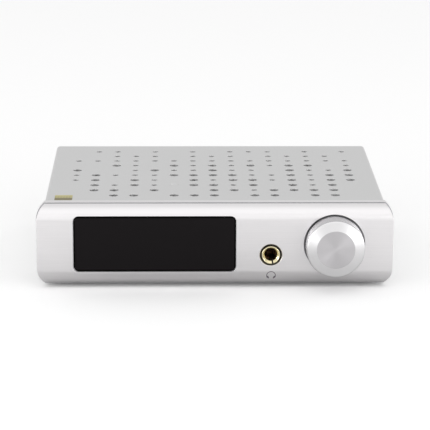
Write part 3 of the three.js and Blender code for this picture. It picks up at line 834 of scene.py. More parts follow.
class AMP_OT_headphone_socket(bpy.types.Operator):
    """Turns the slotted brass sleeve and lines its bore, with its contacts"""
    bl_idname = "amp.headphone_socket"
    bl_label = "Headphone socket"

    def execute(self, context):
        paint = finishes(context.scene)
        low, high = corners("jack_sleeve")
        outer, bore = (high.x - low.x) / 2, 3.3 * MM
        at = along_y(JACK)
        ring = eased([(bore, low.y + 1.0 * MM), (4.3 * MM, low.y), (outer, low.y), (outer, high.y),
                      (bore, high.y)], 0.3 * MM, 4)
        sleeve = made("jack_sleeve_turned", turned(ring, 96, closed=True), paint["brass"], at=at)
        half, deep, slant = 0.4 * MM, 3.5 * MM, 77
        # The slot's walls take the near-black: painted shade in the slot.
        slot = made("slot", block((bore * 0.7, low.y - MM, -half),
                                  (outer + MM, low.y + deep, half)), paint["black_nylon_and_shade"])
        slot.rotation_euler.y = math.radians(slant)
        slot.location = at
        combined(sleeve, [slot])
        settle(sleeve, CHASSIS, "plated_brass", "jack_sleeve")
        self.contacts(paint, low, high, at)
        return {"FINISHED"}

    def contacts(self, paint, low, high, at):
        """Liner of the bore, and the ring contacts that show inside it."""
        depth, wall = high.y + 22 * MM, 0.3 * MM
        inner, outer, base = 3.28 * MM, 3.36 * MM, depth - wall
        liner = made("jack_bore_liner", turned([
            (0, base), (inner, base), (inner, high.y), (outer, high.y), (outer, depth),
            (0, depth)], 48),
            paint["liner"], at=at)
        settle(liner, CHASSIS, "black_plastic")
        half = 0.9 * MM
        for i, (back, angle) in enumerate(((5, -58), (8, 204))):
            leaf = [(-3.1, back), (-2.35, back + 2.2), (-3.1, back + 4.4), (-3.25, back + 4.4),
                    (-2.55, back + 2.2), (-3.25, back)]
            body = prism([(a * MM, low.y + b * MM) for a, b in leaf], -half, half, "Z")
            contact = made(f"jack_contact_{i + 1}", body, paint["bronze"])
            contact.data.transform(Matrix.Rotation(math.radians(angle), 4, "Y"))
            contact.location = at
            settle(contact, CHASSIS, "spring_steel")


# ---- volume knob ----------------------------------------------------------------------------


class AMP_OT_volume_knob(bpy.types.Operator):
    """Turns the volume knob: flat face, wide shallow cone, straight side and hollow back"""
    bl_idname = "amp.volume_knob"
    bl_label = "Volume knob"

    def execute(self, context):
        sizes, paint = context.scene.amp_knob, finishes(context.scene)
        low, high = corners("volume_knob")
        radius, sharp = (high.x - low.x) / 2, 20
        face, side, cone = (paint[k] for k in ("dial_face_painted_shade", "dial_side", "dial_cone"))
        hollow, floor, bore, bottom = 10 * MM, FACE_Y - 3.5 * MM, 3.06 * MM, low.y + 3 * MM
        # A narrow ring, almost level, parts the face from the cone under smooth shading.
        hair, drop = 0.05 * MM, 0.01 * MM
        front = [(0, low.y), (sizes.face - hair, low.y), (sizes.face + hair, low.y + drop)]
        outside = eased([front[-1], (radius, low.y + sizes.cone), (radius, high.y),
                         (hollow, high.y)], sizes.shoulder, 8, closed=False)
        back = [(hollow, floor), (bore, floor), (bore, bottom), (0, bottom)]
        knob = made("volume_knob_turned", turned(front + outside[1:] + back, 160), face, side, cone,
                    at=along_y(DIAL), crease=sharp)
        # The face takes the darker copy of the aluminium: painted shade.
        for polygon in knob.data.polygons:
            reach = math.hypot(polygon.center.x, polygon.center.z)
            if polygon.center.y < low.y + drop / 2:
                polygon.material_index = 0
            elif reach < radius - 0.3 * MM and polygon.center.y < low.y + sizes.cone + 0.2 * MM:
                polygon.material_index = 2
            else:
                polygon.material_index = 1
        grub = middle("knob_grub_screw")
        hole = made("grub_hole", stand_up(rod(1.4 * MM, -8 * MM, 5 * MM)), side,
                    at=(DIAL.x, grub.y, DIAL.z - radius + 4 * MM))
        combined(knob, [hole])
        smooth(knob, sharp)
        settle(knob, KNOB, "turned_aluminium", "volume_knob")
        self.grub_screw(paint, grub)
        return {"FINISHED"}

    def grub_screw(self, paint, place):
        """Grub screw with a socket in its end, in the knob's side."""
        low, high = corners("knob_grub_screw")
        length, radius = high.z - low.z, 1.25 * MM
        thread = turned([(0, 0), (0.55 * MM, 0.5 * MM), (0.65 * MM, 0), (radius - 0.1 * MM, 0),
                         (radius, 0.15 * MM), (radius, length), (0, length)], 32)
        screw = made("grub_screw_socket", stand_up(thread), paint["zinc"],
                     at=(place.x, place.y, low.z))
        settle(screw, KNOB, "screw_steel", "knob_grub_screw")


# ---- case -----------------------------------------------------------------------------------


def gathered(name, parts, *materials):
    """One object from several bodies, each (body, place)."""
    whole = bmesh.new()
    for body, place in parts:
        bmesh.ops.translate(body, verts=body.verts, vec=place)
        part = bpy.data.meshes.new("part")
        body.to_mesh(part)
        body.free()
        whole.from_mesh(part)
        bpy.data.meshes.remove(part)
    return made(name, whole, *materials)


def spread(piece, nodes, name, slot, z):
    """Stands the same mesh at each of the nodes, on the height z."""
    for i, node in enumerate(nodes, 1):
        twin = piece if i == 1 else placed(f"{name}_{i}", piece.data)
        place = middle(node)
        twin.location = (place.x, place.y, z)
        settle(twin, CHASSIS, slot, node)


class AMP_OT_top_cover(bpy.types.Operator):
    """Bends the cover from sheet and drills its grid of countersunk vents"""
    bl_idname = "amp.top_cover"
    bl_label = "Top cover"

    def execute(self, context):
        sizes, paint = context.scene.amp_vents, finishes(context.scene)
        profile = self.profile(CASE_HIGH.x, CASE_LOW.z, CASE_HIGH.z)
        body = prism(profile, CASE_LOW.y, CASE_HIGH.y)
        cover = bevelled(made("top_cover_bent", body, paint["blasted"]), 0.25 * MM)
        combined(cover, [self.rebate(paint), self.vents(sizes, paint), self.screw_holes(paint)])
        settle(cover, CHASSIS, "blasted_aluminium", "top_cover")
        return {"FINISHED"}

    def profile(self, half, low, top):
        """Section of the cover: outer bends, wall, and the screw ribs in its inner corners."""
        wall, rib, bend, steps = 1.6 * MM, 6 * MM, 2 * MM, 10
        inner, under, foot = half - wall, top - wall, REAR_LOW.z + 0.1 * MM
        outer = [(half, low)]
        outer += [(half - bend + bend * math.cos(a), top - bend + bend * math.sin(a))
                  for a in (math.pi / 2 * i / steps for i in range(steps + 1))]
        inside = [(inner - rib, under), (inner - rib, under - rib), (inner, under - rib),
                  (inner, foot + rib), (inner - rib, foot + rib), (inner - rib, foot), (inner, foot),
                  (inner, low)]
        return outer + [(-x, z) for x, z in reversed(outer)] + [
            (-x, z) for x, z in reversed(inside)] + inside

    def rebate(self, paint):
        """Room for the rear panel inside the cover's back end."""
        step, clear = 0.1 * MM, MM
        low = (REAR_LOW.x - step, REAR_LOW.y - step, REAR_LOW.z - step)
        high = (REAR_HIGH.x + step, CASE_HIGH.y + clear, REAR_HIGH.z + step)
        return made("rebate", block(low, high), paint["blasted"])

    def vents(self, sizes, paint):
        """Cutter for every vent hole, and for the blind one."""
        top, through, blind, parts = CASE_HIGH.z, 3 * MM, (0.06 * MM, 0.15 * MM), []
        for k, row in enumerate(VENT_ROWS):
            y = PANEL_HIGH.y + sizes.first + (len(VENT_ROWS) - 1 - k) * sizes.pitch
            for i, mark in enumerate(row):
                if mark == ".":
                    continue
                x = (i - (len(row) - 1) / 2) * sizes.pitch
                radius = sizes.small if mark == "o" else sizes.big
                sink, depth = blind if mark == "u" else (sizes.sink, through)
                core = radius - sink
                shape = [(0, MM), (radius + MM, MM), (core, -sink), (core, -depth), (0, -depth)]
                parts.append((stand_up(turned(shape, 32)), (x, y, top)))
        return gathered("vents", parts, paint["blasted"])

    def screw_holes(self, paint):
        """Cutter for the eight screw holes in the ribs."""
        radius, parts = 1.35 * MM, []
        for place in map(middle, SCREWS["cover"]):
            hole = stand_up(rod(radius, -MM, 7 * MM, 24))
            parts.append((hole, (place.x, place.y, REAR_LOW.z)))
        for place in map(middle, SCREWS["rear"]):
            parts.append((rod(radius, -9 * MM, MM, 24), (place.x, REAR_LOW.y, place.z)))
        return gathered("screw_holes", parts, paint["blasted"])


def drive_screws(paint, kind, head, thick, shank, turn):
    """Cross-recessed screws of one kind, their heads facing -Y before the turn."""
    nodes = SCREWS[kind]
    low, high = corners(nodes[0])
    length = (high - low).y if turn.z else (high - low).z
    dome = eased([(0.0, 0.0), (head, 0.0), (head, thick)], 0.45 * MM, 5, closed=False)
    point = [(shank, length - 0.4 * MM), (shank * 0.7, length), (0, length)]
    screw = made(f"{kind}_screw_1", turned([*dome, (shank, thick), *point], 40), paint["zinc"])
    width, reach, depth = 0.35 * MM, 0.62 * head, 0.75 * thick
    cross = [made("slot", block((-a, -MM, -b), (a, depth, b)), paint["zinc"])
             for a, b in ((reach, width), (width, reach))]
    combined(screw, cross)
    for i, node in enumerate(nodes, 1):
        low, high = corners(node)
        place = (low + high) / 2
        piece = screw if i == 1 else placed(f"{kind}_screw_{i}", screw.data)
        piece.location = (place.x, high.y, place.z) if turn.z else (place.x, place.y, low.z)
        piece.rotation_euler = turn
        settle(piece, CHASSIS, "screw_steel", node)


class AMP_OT_bottom(bpy.types.Operator):
    """Makes the bottom plate, its rubber feet and the screws from below"""
    bl_idname = "amp.bottom"
    bl_label = "Bottom plate and feet"

    def execute(self, context):
        paint = finishes(context.scene)
        low, high = corners("bottom_plate")
        plate = made("bottom_plate_sheet", block(low, high), paint["blasted"])
        holes = []
        for kind, radius in (("cover", 2.8 * MM), ("foot", 1.4 * MM)):
            for place in map(middle, SCREWS[kind]):
                holes.append((stand_up(rod(radius, -MM, 4 * MM)), (place.x, place.y, low.z)))
        combined(plate, [gathered("holes", holes, paint["blasted"])])
        bevelled(plate, 0.25 * MM, 2)
        settle(plate, CHASSIS, "blasted_aluminium", "bottom_plate")
        upright = Vector((math.pi / 2, 0, 0))
        for kind, thick in (("cover", 1.5 * MM), ("foot", 0.9 * MM)):
            drive_screws(paint, kind, 2.6 * MM, thick, 1.2 * MM, upright)
        self.feet(paint)
        return {"FINISHED"}

    def feet(self, paint):
        """Four moulded feet with a grip groove, round the heads of their screws."""
        low, high = corners("foot_front_left")
        outer, inner, shank, height = (high.x - low.x) / 2, 3 * MM, 1.4 * MM, high.z - low.z
        seat, grip = 1.4 * MM, 0.3 * MM
        section = eased([(inner, 0), (4.6 * MM, 0), (4.75 * MM, grip), (5.25 * MM, grip),
                         (5.4 * MM, 0), (outer - 0.6 * MM, 0), (outer, 0.7 * MM), (outer, height),
                         (shank, height), (shank, seat), (inner, seat)], 0.15 * MM, 3)
        foot = made("rubber_foot_1", stand_up(turned(section, 64, closed=True)), paint["rubber"])
        spread(foot, [f"foot_{corner}" for corner in CORNERS], "rubber_foot", "foot_rubber", low.z)


class AMP_OT_rear_panel(bpy.types.Operator):
    """Punches the rear panel and drives its four screws"""
    bl_idname = "amp.rear_panel"
    bl_label = "Rear panel"

    def execute(self, context):
        paint = finishes(context.scene)
        plate = made("rear_panel_punched", block(REAR_LOW, REAR_HIGH), paint["blasted"])
        front, back = REAR_LOW.y - MM, REAR_HIGH.y + MM
        rods, gap = [], 0.2
        for nodes, radius in ((PHONO_SHELLS, 4.4 * MM), (SCREWS["rear"], 1.4 * MM)):
            rods += [(rod(radius, front, back, 48), along_y(middle(node))) for node in nodes]
        cutters = [gathered("rods", rods, paint["blasted"])]
        for node, radius in (("usb_socket", 1.7), ("power_inlet", 0.6), ("switch_well", 0.6)):
            x, z, width, height = SOCKETS[node]
            outline = box_outline(x, z, width + 2 * gap * MM, height + 2 * gap * MM, radius * MM)
            cutters.append(made(node, prism(outline, front, back), paint["blasted"]))
        combined(plate, cutters)
        bevelled(plate, 0.15 * MM, 2)
        settle(plate, CHASSIS, "blasted_aluminium", "rear_panel")
        drive_screws(paint, "rear", 2.6 * MM, 1.6 * MM, 1.2 * MM, Vector((0, 0, math.pi)))
        return {"FINISHED"}


# ---- sockets at the back --------------------------------------------------------------------


def footprint(node):
    """Middle and size of a node seen from behind: x, z, width, height."""
    low, high = corners(node)
    return (low.x + high.x) / 2, (low.z + high.z) / 2, high.x - low.x, high.z - low.z


SWITCH_RIM = 2 * MM
SOCKETS = {node: footprint(node) for node in ("usb_socket", "power_inlet", "switch_housing")}
SOCKETS["switch_well"] = SOCKETS["switch_housing"][:2] + tuple(
    side - SWITCH_RIM for side in SOCKETS["switch_housing"][2:])


class AMP_OT_phono_sockets(bpy.types.Operator):
    """Turns the three phono sockets, each with its coloured insulator"""
    bl_idname = "amp.phono_sockets"
    bl_label = "Phono sockets"

    def execute(self, context):
        paint = finishes(context.scene)
        low, high = corners(PHONO_SHELLS[0])
        flange, face = (high.x - low.x) / 2, REAR_HIGH.y + 0.1 * MM
        outer, bore, end, thick = 4.15 * MM, 3.5 * MM, high.y, 1.6 * MM
        waist = outer - 0.25 * MM
        groove = [(outer, face + thick), (outer, face + 6.2 * MM), (waist, face + 6.4 * MM),
                  (waist, face + 6.9 * MM), (outer, face + 7.1 * MM)]
        tube = eased([(bore, low.y), (outer, low.y), (outer, face), (flange, face),
                      (flange, face + thick), *groove, (outer, end), (bore, end)], 0.3 * MM, 4)
        pin, lip, rim, fit = 1.6 * MM, 2.3 * MM, end - 0.6 * MM, bore - 0.15 * MM
        ledge = rim - 0.8 * MM
        core = eased([(pin, low.y), (fit, low.y), (fit, ledge), (lip, ledge), (lip, rim),
                      (pin, rim)], 0.2 * MM, 3)
        for i, dye in enumerate(("red", "white", "orange"), 1):
            place = along_y(middle(PHONO_SHELLS[i - 1]))
            shell = made(f"phono_shell_turned_{i}", turned(tube, 64, closed=True), paint["nickel"],
                         at=place)
            insulator = made(f"phono_core_{i}", turned(core, 48, closed=True), paint[dye], at=place)
            settle(shell, CHASSIS, "stamped_steel", f"phono_shell_{i}")
            settle(insulator, CHASSIS, f"{dye}_plastic", f"phono_insulator_{i}")
            self.contact(paint, i, place, low.y, rim, pin)
        return {"FINISHED"}

    def contact(self, paint, number, place, start, rim, pin):
        """Sprung centre contact that lines the pin hole."""
        inner, outer, first, last = pin - 0.25 * MM, pin - 0.02 * MM, start + MM, rim - 0.7 * MM
        section = eased([(inner, first), (outer, first), (outer, last), (inner, last)],
                        0.08 * MM, 2)
        tube = turned(section, 32, closed=True)
        contact = made(f"phono_contact_{number}", tube, paint["brass"], at=place)
        settle(contact, CHASSIS, "plated_brass")


class AMP_OT_usb_and_power(bpy.types.Operator):
    """Makes the USB socket and the power inlet"""
    bl_idname = "amp.usb_and_power"
    bl_label = "USB socket and power inlet"

    def execute(self, context):
        paint = finishes(context.scene)
        self.usb(paint)
        self.inlet(paint)
        return {"FINISHED"}

    def usb(self, paint):
        """Drawn steel shell with a tongue and its row of contacts."""
        low, high = corners("usb_socket")
        x, z, width, height = SOCKETS["usb_socket"]
        wall = 0.3 * MM
        flat = 0.05 * MM
        outer = box_outline(x, z, width, height, height / 2 - flat)
        shell = made("usb_shell", prism(outer, low.y, high.y), paint["nickel"])
        inner = box_outline(x, z, width - 2 * wall, height - 2 * wall, height / 2 - wall - flat)
        hollow = prism(inner, low.y + 2 * MM, high.y + MM)
        combined(shell, [made("hollow", hollow, paint["nickel"])])
        bevelled(shell, 0.08 * MM, 2)
        settle(shell, CHASSIS, "stamped_steel", "usb_socket")
        half, thin = 3.3 * MM, 0.35 * MM
        tongue = made("usb_tongue", block((x - half, low.y + MM, z - thin),
                                          (x + half, high.y - 0.8 * MM, z + thin)), paint["black"])
        settle(bevelled(tongue, 0.12 * MM), CHASSIS, "black_plastic")
        # Twelve contacts at the standard pitch of 0.5 mm.
        count, half, proud = 12, 0.12 * MM, 0.37 * MM
        strips = [(block((-half, 0, -proud), (half, 4.2 * MM, proud)),
                   (x + (i - (count - 1) / 2) * 0.5 * MM, high.y - 5.4 * MM, z))
                  for i in range(count)]
        contacts = bevelled(gathered("usb_contacts", strips, paint["brass"]), 0.03 * MM, 1)
        settle(contacts, CHASSIS, "plated_brass")

    def inlet(self, paint):
        """Moulded inlet with a round well, a bright pin and a sprung side contact."""
        low, high = corners("power_inlet")
        x, z = SOCKETS["power_inlet"][:2]
        body = bevelled(made("power_inlet_moulded", block(low, high), paint["black"]), 0.4 * MM)
        radius, mouth = 3.2 * MM, 0.5 * MM
        well = turned([(0, low.y + 3 * MM), (radius, low.y + 3 * MM), (radius, high.y - mouth),
                       (radius + MM, high.y + mouth), (0, high.y + mouth)], 64)
        # The well's walls take the near-black: painted shade in the well.
        combined(body, [made("well", well, paint["black_nylon_and_shade"], at=(x, 0, z))])
        settle(body, CHASSIS, "black_plastic", "power_inlet")
        pin = turned(eased([(0, low.y + 2 * MM), (MM, low.y + 2 * MM), (MM, high.y - MM),
                            (0, high.y - MM)], 0.4 * MM, 6, closed=False), 32)
        settle(made("power_pin", pin, paint["nickel"], at=(x, 0, z)), CHASSIS, "spring_steel")
        leaf = [(-2.9, 0), (-2.3, 4), (-2.9, 7.5), (-3.1, 7.5), (-2.5, 4), (-3.1, 0)]
        strip = prism([(a * MM, low.y + (3.4 + b) * MM) for a, b in leaf], -0.8 * MM, 0.8 * MM, "Z")
        contact = made("power_contact", strip, paint["nickel"], at=(x, 0, z))
        settle(bevelled(contact, 0.05 * MM, 1), CHASSIS, "spring_steel")


TILT = 8.0
PIVOT = Vector((SOCKETS["switch_housing"][0], REAR_HIGH.y - 1.2 * MM, SOCKETS["switch_housing"][1]))
DISH_REACH, DISH_FLOOR = 7.4, 3.6


def dish_height(x):
    """Height of the rocker's dished face above its pivot, both in millimetres."""
    return DISH_FLOOR + (abs(x) / DISH_REACH) ** 1.5


class AMP_OT_power_switch(bpy.types.Operator):
    """Makes the switch housing and its curved rocker with the on and off marks"""
    bl_idname = "amp.power_switch"
    bl_label = "Power switch"

    def execute(self, context):
        paint = finishes(context.scene)
        low, high = corners("switch_housing")
        x, z, width, height = SOCKETS["switch_housing"]
        face = REAR_HIGH.y + 0.1 * MM
        rings = box_rings(x, z, width, height, (
            (face, 0.0, MM), (high.y - 0.35 * MM, 0.0, MM), (high.y - 0.1 * MM, 0.12 * MM, MM),
            (high.y, 0.4 * MM, MM)))
        housing = made("switch_housing_moulded", lofted(rings), paint["black"])
        sides = box_outline(x, z, width - SWITCH_RIM, height - SWITCH_RIM, 0.5 * MM)
        barrel = made("barrel", prism(sides, low.y, face + 0.2 * MM), paint["black"])
        combined(housing, [barrel], "UNION")
        opening = box_outline(x, z, width - 2 * SWITCH_RIM, height - 2 * SWITCH_RIM, 0.4 * MM)
        well = prism(opening, PIVOT.y - 3.8 * MM, high.y + MM)
        # The well's walls take the near-black: painted shade in the well.
        combined(housing, [made("well", well, paint["black_nylon_and_shade"])])
        bevelled(housing, 0.12 * MM, 2, 50)
        settle(housing, CHASSIS, "black_plastic", "switch_housing")
        self.rocker(paint)
        return {"FINISHED"}

    def rocker(self, paint):
        """Rocker, tipped to its off side, with a bar on one half and a ring on the other."""
        half, reach, steps = 5.1 * MM, DISH_REACH, 20
        dish = [(x, dish_height(x))
                for x in (reach - 2 * reach * i / steps for i in range(steps + 1))]
        profile = [(-reach, 1.5), (-3, -2.5), (3, -2.5), (reach, 1.5)] + dish
        outline = [(a * MM, b * MM) for a, b in profile]
        rocker = made("switch_rocker_moulded", prism(outline, -half, half, "Z"), paint["black"])
        bevelled(rocker, 0.35 * MM, 4, 40)
        turn = Matrix.Rotation(math.radians(TILT), 4, "Z")
        rocker.matrix_world = Matrix.Translation(PIVOT) @ turn
        settle(rocker, ROCKER, "black_plastic", "switch_rocker")
        place, size, width, sides, hollow = 3.9, 1.5, 0.3, 40, 0.72
        bar = [(-width, -size), (width, -size), (width, size), (-width, size)]
        self.mark("switch_on_mark", paint, place, bar, turn)
        ring = [(size * math.cos(a), size * math.sin(a))
                for a in (2 * math.pi * i / sides for i in range(sides))]
        self.mark("switch_off_mark", paint, -place, ring, turn, hollow)

    def mark(self, name, paint, x, outline, turn, hollow=0.0):
        """Pad-printed mark that follows the rocker's dish, from millimetres on its face."""
        body, sunk, proud = bmesh.new(), -0.1, 0.03
        rows = [[(x + a * scale, b * scale) for a, b in outline]
                for scale in (1.0, hollow) if scale]
        lift = [[[body.verts.new((a * MM, (dish_height(a) + up) * MM, b * MM)) for a, b in row]
                 for up in (sunk, proud)] for row in rows]
        count = len(outline)
        walls = [(lift[0][0], lift[0][1])]
        if hollow:
            walls += [(lift[0][1], lift[1][1]), (lift[1][1], lift[1][0]), (lift[1][0], lift[0][0])]
        else:
            body.faces.new(lift[0][1])
            body.faces.new(lift[0][0][::-1])
        for low, high in walls:
            for i in range(count):
                j = (i + 1) % count
                body.faces.new((low[i], low[j], high[j], high[i]))
        bmesh.ops.recalc_face_normals(body, faces=body.faces)
        mark = made(name, body, paint["white"])
        mark.matrix_world = Matrix.Translation(PIVOT) @ turn
        settle(mark, ROCKER, "white_plastic")


# ---- inside ---------------------------------------------------------------------------------


class AMP_OT_board(bpy.types.Operator):
    """Makes the main board, its standoffs and what stands on it"""
    bl_idname = "amp.board"
    bl_label = "Main board"

    def execute(self, context):
        paint = finishes(context.scene)
        low, high = corners("main_board")
        board = made("main_board_laminate", block(low, high), paint["board"])
        holes = []
        for place in (middle(f"foot_{corner}") for corner in CORNERS):
            holes.append((stand_up(rod(1.5 * MM, -MM, 3 * MM, 24)), (place.x, place.y, low.z)))
        combined(board, [gathered("holes", holes, paint["board"])])
        bevelled(board, 0.15 * MM, 1)
        settle(board, CHASSIS, "circuit_board", "main_board")
        for corner in CORNERS:
            carried(f"standoff_{corner}", paint["brass"])
        self.small_parts(paint, high.z)
        return {"FINISHED"}

    def small_parts(self, paint, top):
        """Rows of small chips and resistors, scattered over the free parts of the board."""
        draw, count = random.Random(7), 70
        taken = [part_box(node) for node in TALL]
        parts = []
        while len(parts) < count:
            x, y = draw.uniform(-74, 74) * MM, draw.uniform(-44, 54) * MM
            wide, deep = draw.choice(((1.6, 0.8), (2.0, 1.25), (3.2, 1.6), (4.9, 3.9), (6.5, 5.3)))
            if draw.random() < 0.5:
                wide, deep = deep, wide
            margin = (max(wide, deep) / 2 + 0.8) * MM
            if any(lo[0] - margin < x < hi[0] + margin and lo[1] - margin < y < hi[1] + margin
                   for lo, hi in taken):
                continue
            half = Vector((wide / 2 * MM, deep / 2 * MM, 0))
            height = (0.5 if max(wide, deep) < 3.5 else 1.4) * MM
            place = Vector((x, y, top))
            taken.append((place - half, place + half))
            parts.append((block(-half, half + Vector((0, 0, height))), place))
        chips = bevelled(gathered("surface_parts", parts, paint["ferrite"]), 0.12 * MM, 1)
        settle(chips, CHASSIS, "ferrite")


def carried(node, material):
    """Gives a CAD node that stays in view its material."""
    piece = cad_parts[node]
    piece.data.materials.clear()
    piece.data.materials.append(material)


class AMP_OT_components(bpy.types.Operator):
    """Makes the capacitors, inductors, heatsink, relay and ribbon cable"""
    bl_idname = "amp.components"
    bl_label = "Components"

    def execute(self, context):
        paint = finishes(context.scene)
        self.capacitors(paint)
        self.inductors(paint)
        self.heatsink(paint)
        low, high = corners("relay")
        relay = bevelled(made("relay_case", block(low, high), paint["cream"]), 0.6 * MM, 4)
        settle(relay, CHASSIS, "cream_plastic", "relay")
        carried("ribbon_cable", paint["cream"])
        return {"FINISHED"}

    def capacitors(self, paint):
        """Sleeved cans with a rolled crimp and a bare top scored with a cross."""
        low, high = corners(CAPACITORS[0])
        radius, height = (high.x - low.x) / 2, high.z - low.z
        sleeve = eased([(0, 0), (radius, 0), (radius, 1.6 * MM), (radius - 0.5 * MM, 2.1 * MM),
                        (radius, 2.6 * MM), (radius, height), (radius - 0.9 * MM, height),
                        (radius - MM, height - 0.25 * MM), (0, height - 0.25 * MM)],
                       0.35 * MM, 4, closed=False)
        can = made("capacitor_can_1", stand_up(turned(sleeve, 48)), paint["sleeve"],
                   paint["bright"])
        for face in can.data.polygons:
            reach = math.hypot(face.center.x, face.center.y)
            face.material_index = int(reach < radius - 0.9 * MM and face.center.z > height / 2)
        long, thin, floor = radius * 0.6, 0.12 * MM, height - 0.4 * MM
        # The scored cross's walls take the black anodised colour: painted shade in the scores.
        cross = [made("score", block((-a, -b, floor), (a, b, height + MM)), paint["anodised_and_shade"])
                 for a, b in ((long, thin), (thin, long))]
        combined(can, cross)
        spread(can, CAPACITORS, "capacitor_can", "capacitor_sleeve", low.z)

    def inductors(self, paint):
        """Ring cores wound with enamelled wire."""
        low, high = corners(INDUCTORS[0])
        radius, height = (high.x - low.x) / 2, high.z - low.z
        hole = 2 * MM
        ring = eased([(hole, 0), (radius, 0), (radius, height), (hole, height)], 1.8 * MM, 6)
        core = made("inductor_winding_1", stand_up(turned(ring, 96, closed=True)), paint["copper"])
        spread(core, INDUCTORS, "inductor_winding", "ferrite", low.z)

    def heatsink(self, paint):
        """Extruded comb with seven fins."""
        low, high = corners("heatsink")
        fins, fin, base = 7, 1.6 * MM, 3 * MM
        pitch = (high.x - low.x - fin) / (fins - 1)
        outline = [(low.x, low.z), (high.x, low.z)]
        for i in reversed(range(fins)):
            x = low.x + i * pitch
            outline += [(x + fin, high.z), (x, high.z)]
            if i:
                outline += [(x, low.z + base), (x - pitch + fin, low.z + base)]
        comb = made("heatsink_extruded", prism(outline, low.y, high.y), paint["anodised_and_shade"])
        settle(bevelled(comb, 0.3 * MM, 2), CHASSIS, "black_anodised", "heatsink")


class AMP_OT_front_parts(bpy.types.Operator):
    """Finishes the parts behind the front panel: display, encoder and socket body"""
    bl_idname = "amp.front_parts"
    bl_label = "Parts behind the front"

    def execute(self, context):
        paint = finishes(context.scene)
        for node, material in (
                ("display_module", "black"), ("front_board", "board"), ("jack_body", "black_nylon_and_shade"),
                ("jack_spring", "nickel"), ("encoder_bushing", "brass"), ("encoder_nut", "zinc"),
                ("encoder_body", "nickel"), ("encoder_shaft", "zinc"), ("encoder_plunger", "black")):
            carried(node, paint[material])
        return {"FINISHED"}


class AMP_OT_label(bpy.types.Operator):
    """Sticks the blank gold foil label on the front left corner of the cover"""
    bl_idname = "amp.label"
    bl_label = "Foil label"

    def execute(self, context):
        paint = finishes(context.scene)
        low, high = corners("foil_label")
        outline = [(low.x, low.y), (high.x, low.y), (high.x, high.y), (low.x, high.y)]
        label = made("foil_label_film", prism(eased(outline, 0.4 * MM, 4), low.z, high.z, "Z"),
                     paint["foil"])
        settle(bevelled(label, 0.03 * MM, 2, 60), CHASSIS, "gold_foil", "foil_label")
        return {"FINISHED"}


# ---- stage ----------------------------------------------------------------------------------


# Each lamp's name, setting of its power, size, place, tip and swing.
LAMPS = (
    ("softbox", "softbox", (3.0, 2.2), (0, -1.8, 2.3), 38, 0),
    ("strip_left", "strips", (1.3, 0.34), (-0.95, -0.72, 0.18), 86, -54),
    ("strip_right", "strips", (1.3, 0.34), (0.95, -0.72, 0.18), 86, 54),
)
CAMERA_PLACE, CAMERA_SENSOR = (-0.0221, -1.1120, 0.3330), 36
CAMERA_PAN, CAMERA_DOWN, CAMERA_ROLL = -1.203, 15.576, 0.245


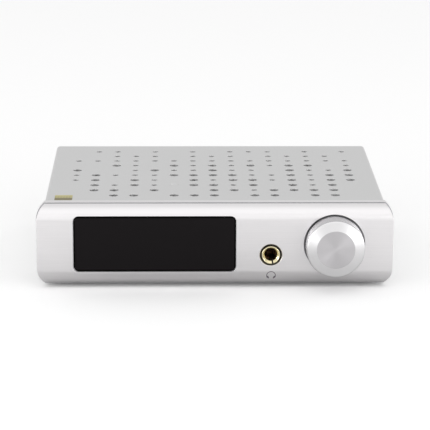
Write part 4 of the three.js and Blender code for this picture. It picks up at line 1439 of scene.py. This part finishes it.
class AMP_OT_stage(bpy.types.Operator):
    """Sets the pale floor, the soft light and the camera"""
    bl_idname = "amp.stage"
    bl_label = "Stage"

    def execute(self, context):
        scene, settings = context.scene, context.scene.amp_stage
        scene.view_settings.view_transform = "Standard"
        self.floor(settings)
        self.sky(scene, settings)
        for lamp in LAMPS:
            self.lamp(settings, *lamp)
        self.camera(scene, settings)
        return {"FINISHED"}

    def floor(self, settings):
        """Pale paper, matt; for the metal's reflections a painted shadow darkens it towards the
        amplifier.
        """
        white = srgb("#fdfdfd")
        material, tree, shader, place = surface("matt_white_paper", white, Roughness=0.9)
        grain = add(tree, "ShaderNodeTexNoise", None, {"Scale": finest(3), "Detail": 3.0},
                    {"Vector": (place, "Object")})
        roughness(tree, shader, (grain, "Fac"), 0.85, 0.95)
        far = add(tree, "ShaderNodeVectorMath", {"operation": "LENGTH"}, None,
                  {"Vector": (place, "Object")})
        # Painted shadow: rays other than the camera's see the paper darker near the amplifier; the
        # camera sees it evenly white.
        near, end, dark, pale = 0.08, 0.2, 0.53, 0.88
        shadow = add(tree, "ShaderNodeMapRange", None,
                     {"From Min": near, "From Max": end, "To Min": dark, "To Max": pale},
                     {"Value": (far, "Value")})
        ray = add(tree, "ShaderNodeLightPath")
        lit = add(tree, "ShaderNodeMath", {"operation": "MAXIMUM"}, None,
                  {"Value": (ray, "Is Camera Ray"), "Value_001": (shadow, "Result")})
        shade = add(tree, "ShaderNodeMix", {"data_type": "RGBA"},
                    {"A_Color": (0, 0, 0, 1), "B_Color": (*white, 1)},
                    {"Factor_Float": (lit, "Value")})
        tree.links.new(output((shade, "Result_Color")), shader.inputs["Base Color"])
        half = settings.floor / 2
        floor = bpy.data.meshes.new("floor")
        square = [(-half, -half, 0), (half, -half, 0), (half, half, 0), (-half, half, 0)]
        floor.from_pydata(square, [], [(0, 1, 2, 3)])
        floor.materials.append(material)
        placed("floor", floor)

    def sky(self, scene, settings):
        """Even white sky, a little stronger in front than behind."""
        world = bpy.data.worlds.new("soft_sky")
        world.use_nodes = True
        tree = world.node_tree
        sky = tree.nodes["Background"]
        sky.inputs["Color"].default_value = (1, 1, 1, 1)
        way = add(tree, "ShaderNodeTexCoord")
        parts = add(tree, "ShaderNodeSeparateXYZ", None, None, {"Vector": (way, "Generated")})
        strength = add(tree, "ShaderNodeMapRange", None,
                       {"From Min": -1.0, "From Max": 1.0, "To Min": settings.sky + settings.sky_turn,
                        "To Max": settings.sky - settings.sky_turn}, {"Value": (parts, "Y")})
        tree.links.new(output((strength, "Result")), sky.inputs["Strength"])
        scene.world = world

    def camera(self, scene, settings):
        """Camera in front and a little above, looking down at the amplifier."""
        lens = bpy.data.cameras.new("camera")
        lens.lens, lens.sensor_width = settings.focal, CAMERA_SENSOR
        lens.dof.use_dof = False
        camera = placed("camera", lens)
        turn = (Matrix.Rotation(math.radians(CAMERA_PAN), 4, "Z")
                @ Matrix.Rotation(math.radians(90 - CAMERA_DOWN), 4, "X")
                @ Matrix.Rotation(math.radians(CAMERA_ROLL), 4, "Z"))
        camera.matrix_world = Matrix.Translation(CAMERA_PLACE) @ turn
        scene.camera = camera

    def lamp(self, settings, name, power, size, place, tip, swing):
        """Soft rectangular lamp that faces down, tipped and then swung, in degrees."""
        light = bpy.data.lights.new(name, "AREA")
        light.shape, light.energy = "RECTANGLE", getattr(settings, power)
        light.size, light.size_y = size
        lamp = placed(name, light, place)
        lamp.rotation_euler = (math.radians(tip), 0, math.radians(swing))


# ---- add-on ---------------------------------------------------------------------------------


PIECES = (
    AMP_OT_stage, AMP_OT_front_panel, AMP_OT_display, AMP_OT_symbol, AMP_OT_headphone_socket,
    AMP_OT_volume_knob, AMP_OT_top_cover, AMP_OT_bottom, AMP_OT_rear_panel, AMP_OT_phono_sockets,
    AMP_OT_usb_and_power, AMP_OT_power_switch, AMP_OT_board, AMP_OT_components, AMP_OT_front_parts,
    AMP_OT_label,
)


class AMP_PT_sidebar(bpy.types.Panel):
    """Lists the amplifier's pieces in the sidebar"""
    bl_idname = "AMP_PT_sidebar"
    bl_label = "Headphone amplifier"
    bl_space_type = "VIEW_3D"
    bl_region_type = "UI"
    bl_category = "Amplifier"

    def draw(self, context):
        for group in SETTINGS:
            box = self.layout.box()
            values = getattr(context.scene, group)
            for name in values.__annotations__:
                box.prop(values, name)
        for piece in PIECES:
            self.layout.operator(piece.bl_idname)


def register():
    for group in SETTINGS.values():
        bpy.utils.register_class(group)
    for name, group in SETTINGS.items():
        setattr(bpy.types.Scene, name, bpy.props.PointerProperty(type=group))
    for piece in PIECES:
        bpy.utils.register_class(piece)
    bpy.utils.register_class(AMP_PT_sidebar)


def unregister():
    bpy.utils.unregister_class(AMP_PT_sidebar)
    for piece in reversed(PIECES):
        bpy.utils.unregister_class(piece)
    for name, group in SETTINGS.items():
        delattr(bpy.types.Scene, name)
        bpy.utils.unregister_class(group)


def main():
    register()
    for piece in PIECES:
        getattr(bpy.ops.amp, piece.bl_idname.split(".")[1])()


if __name__ == "__main__":
    main()
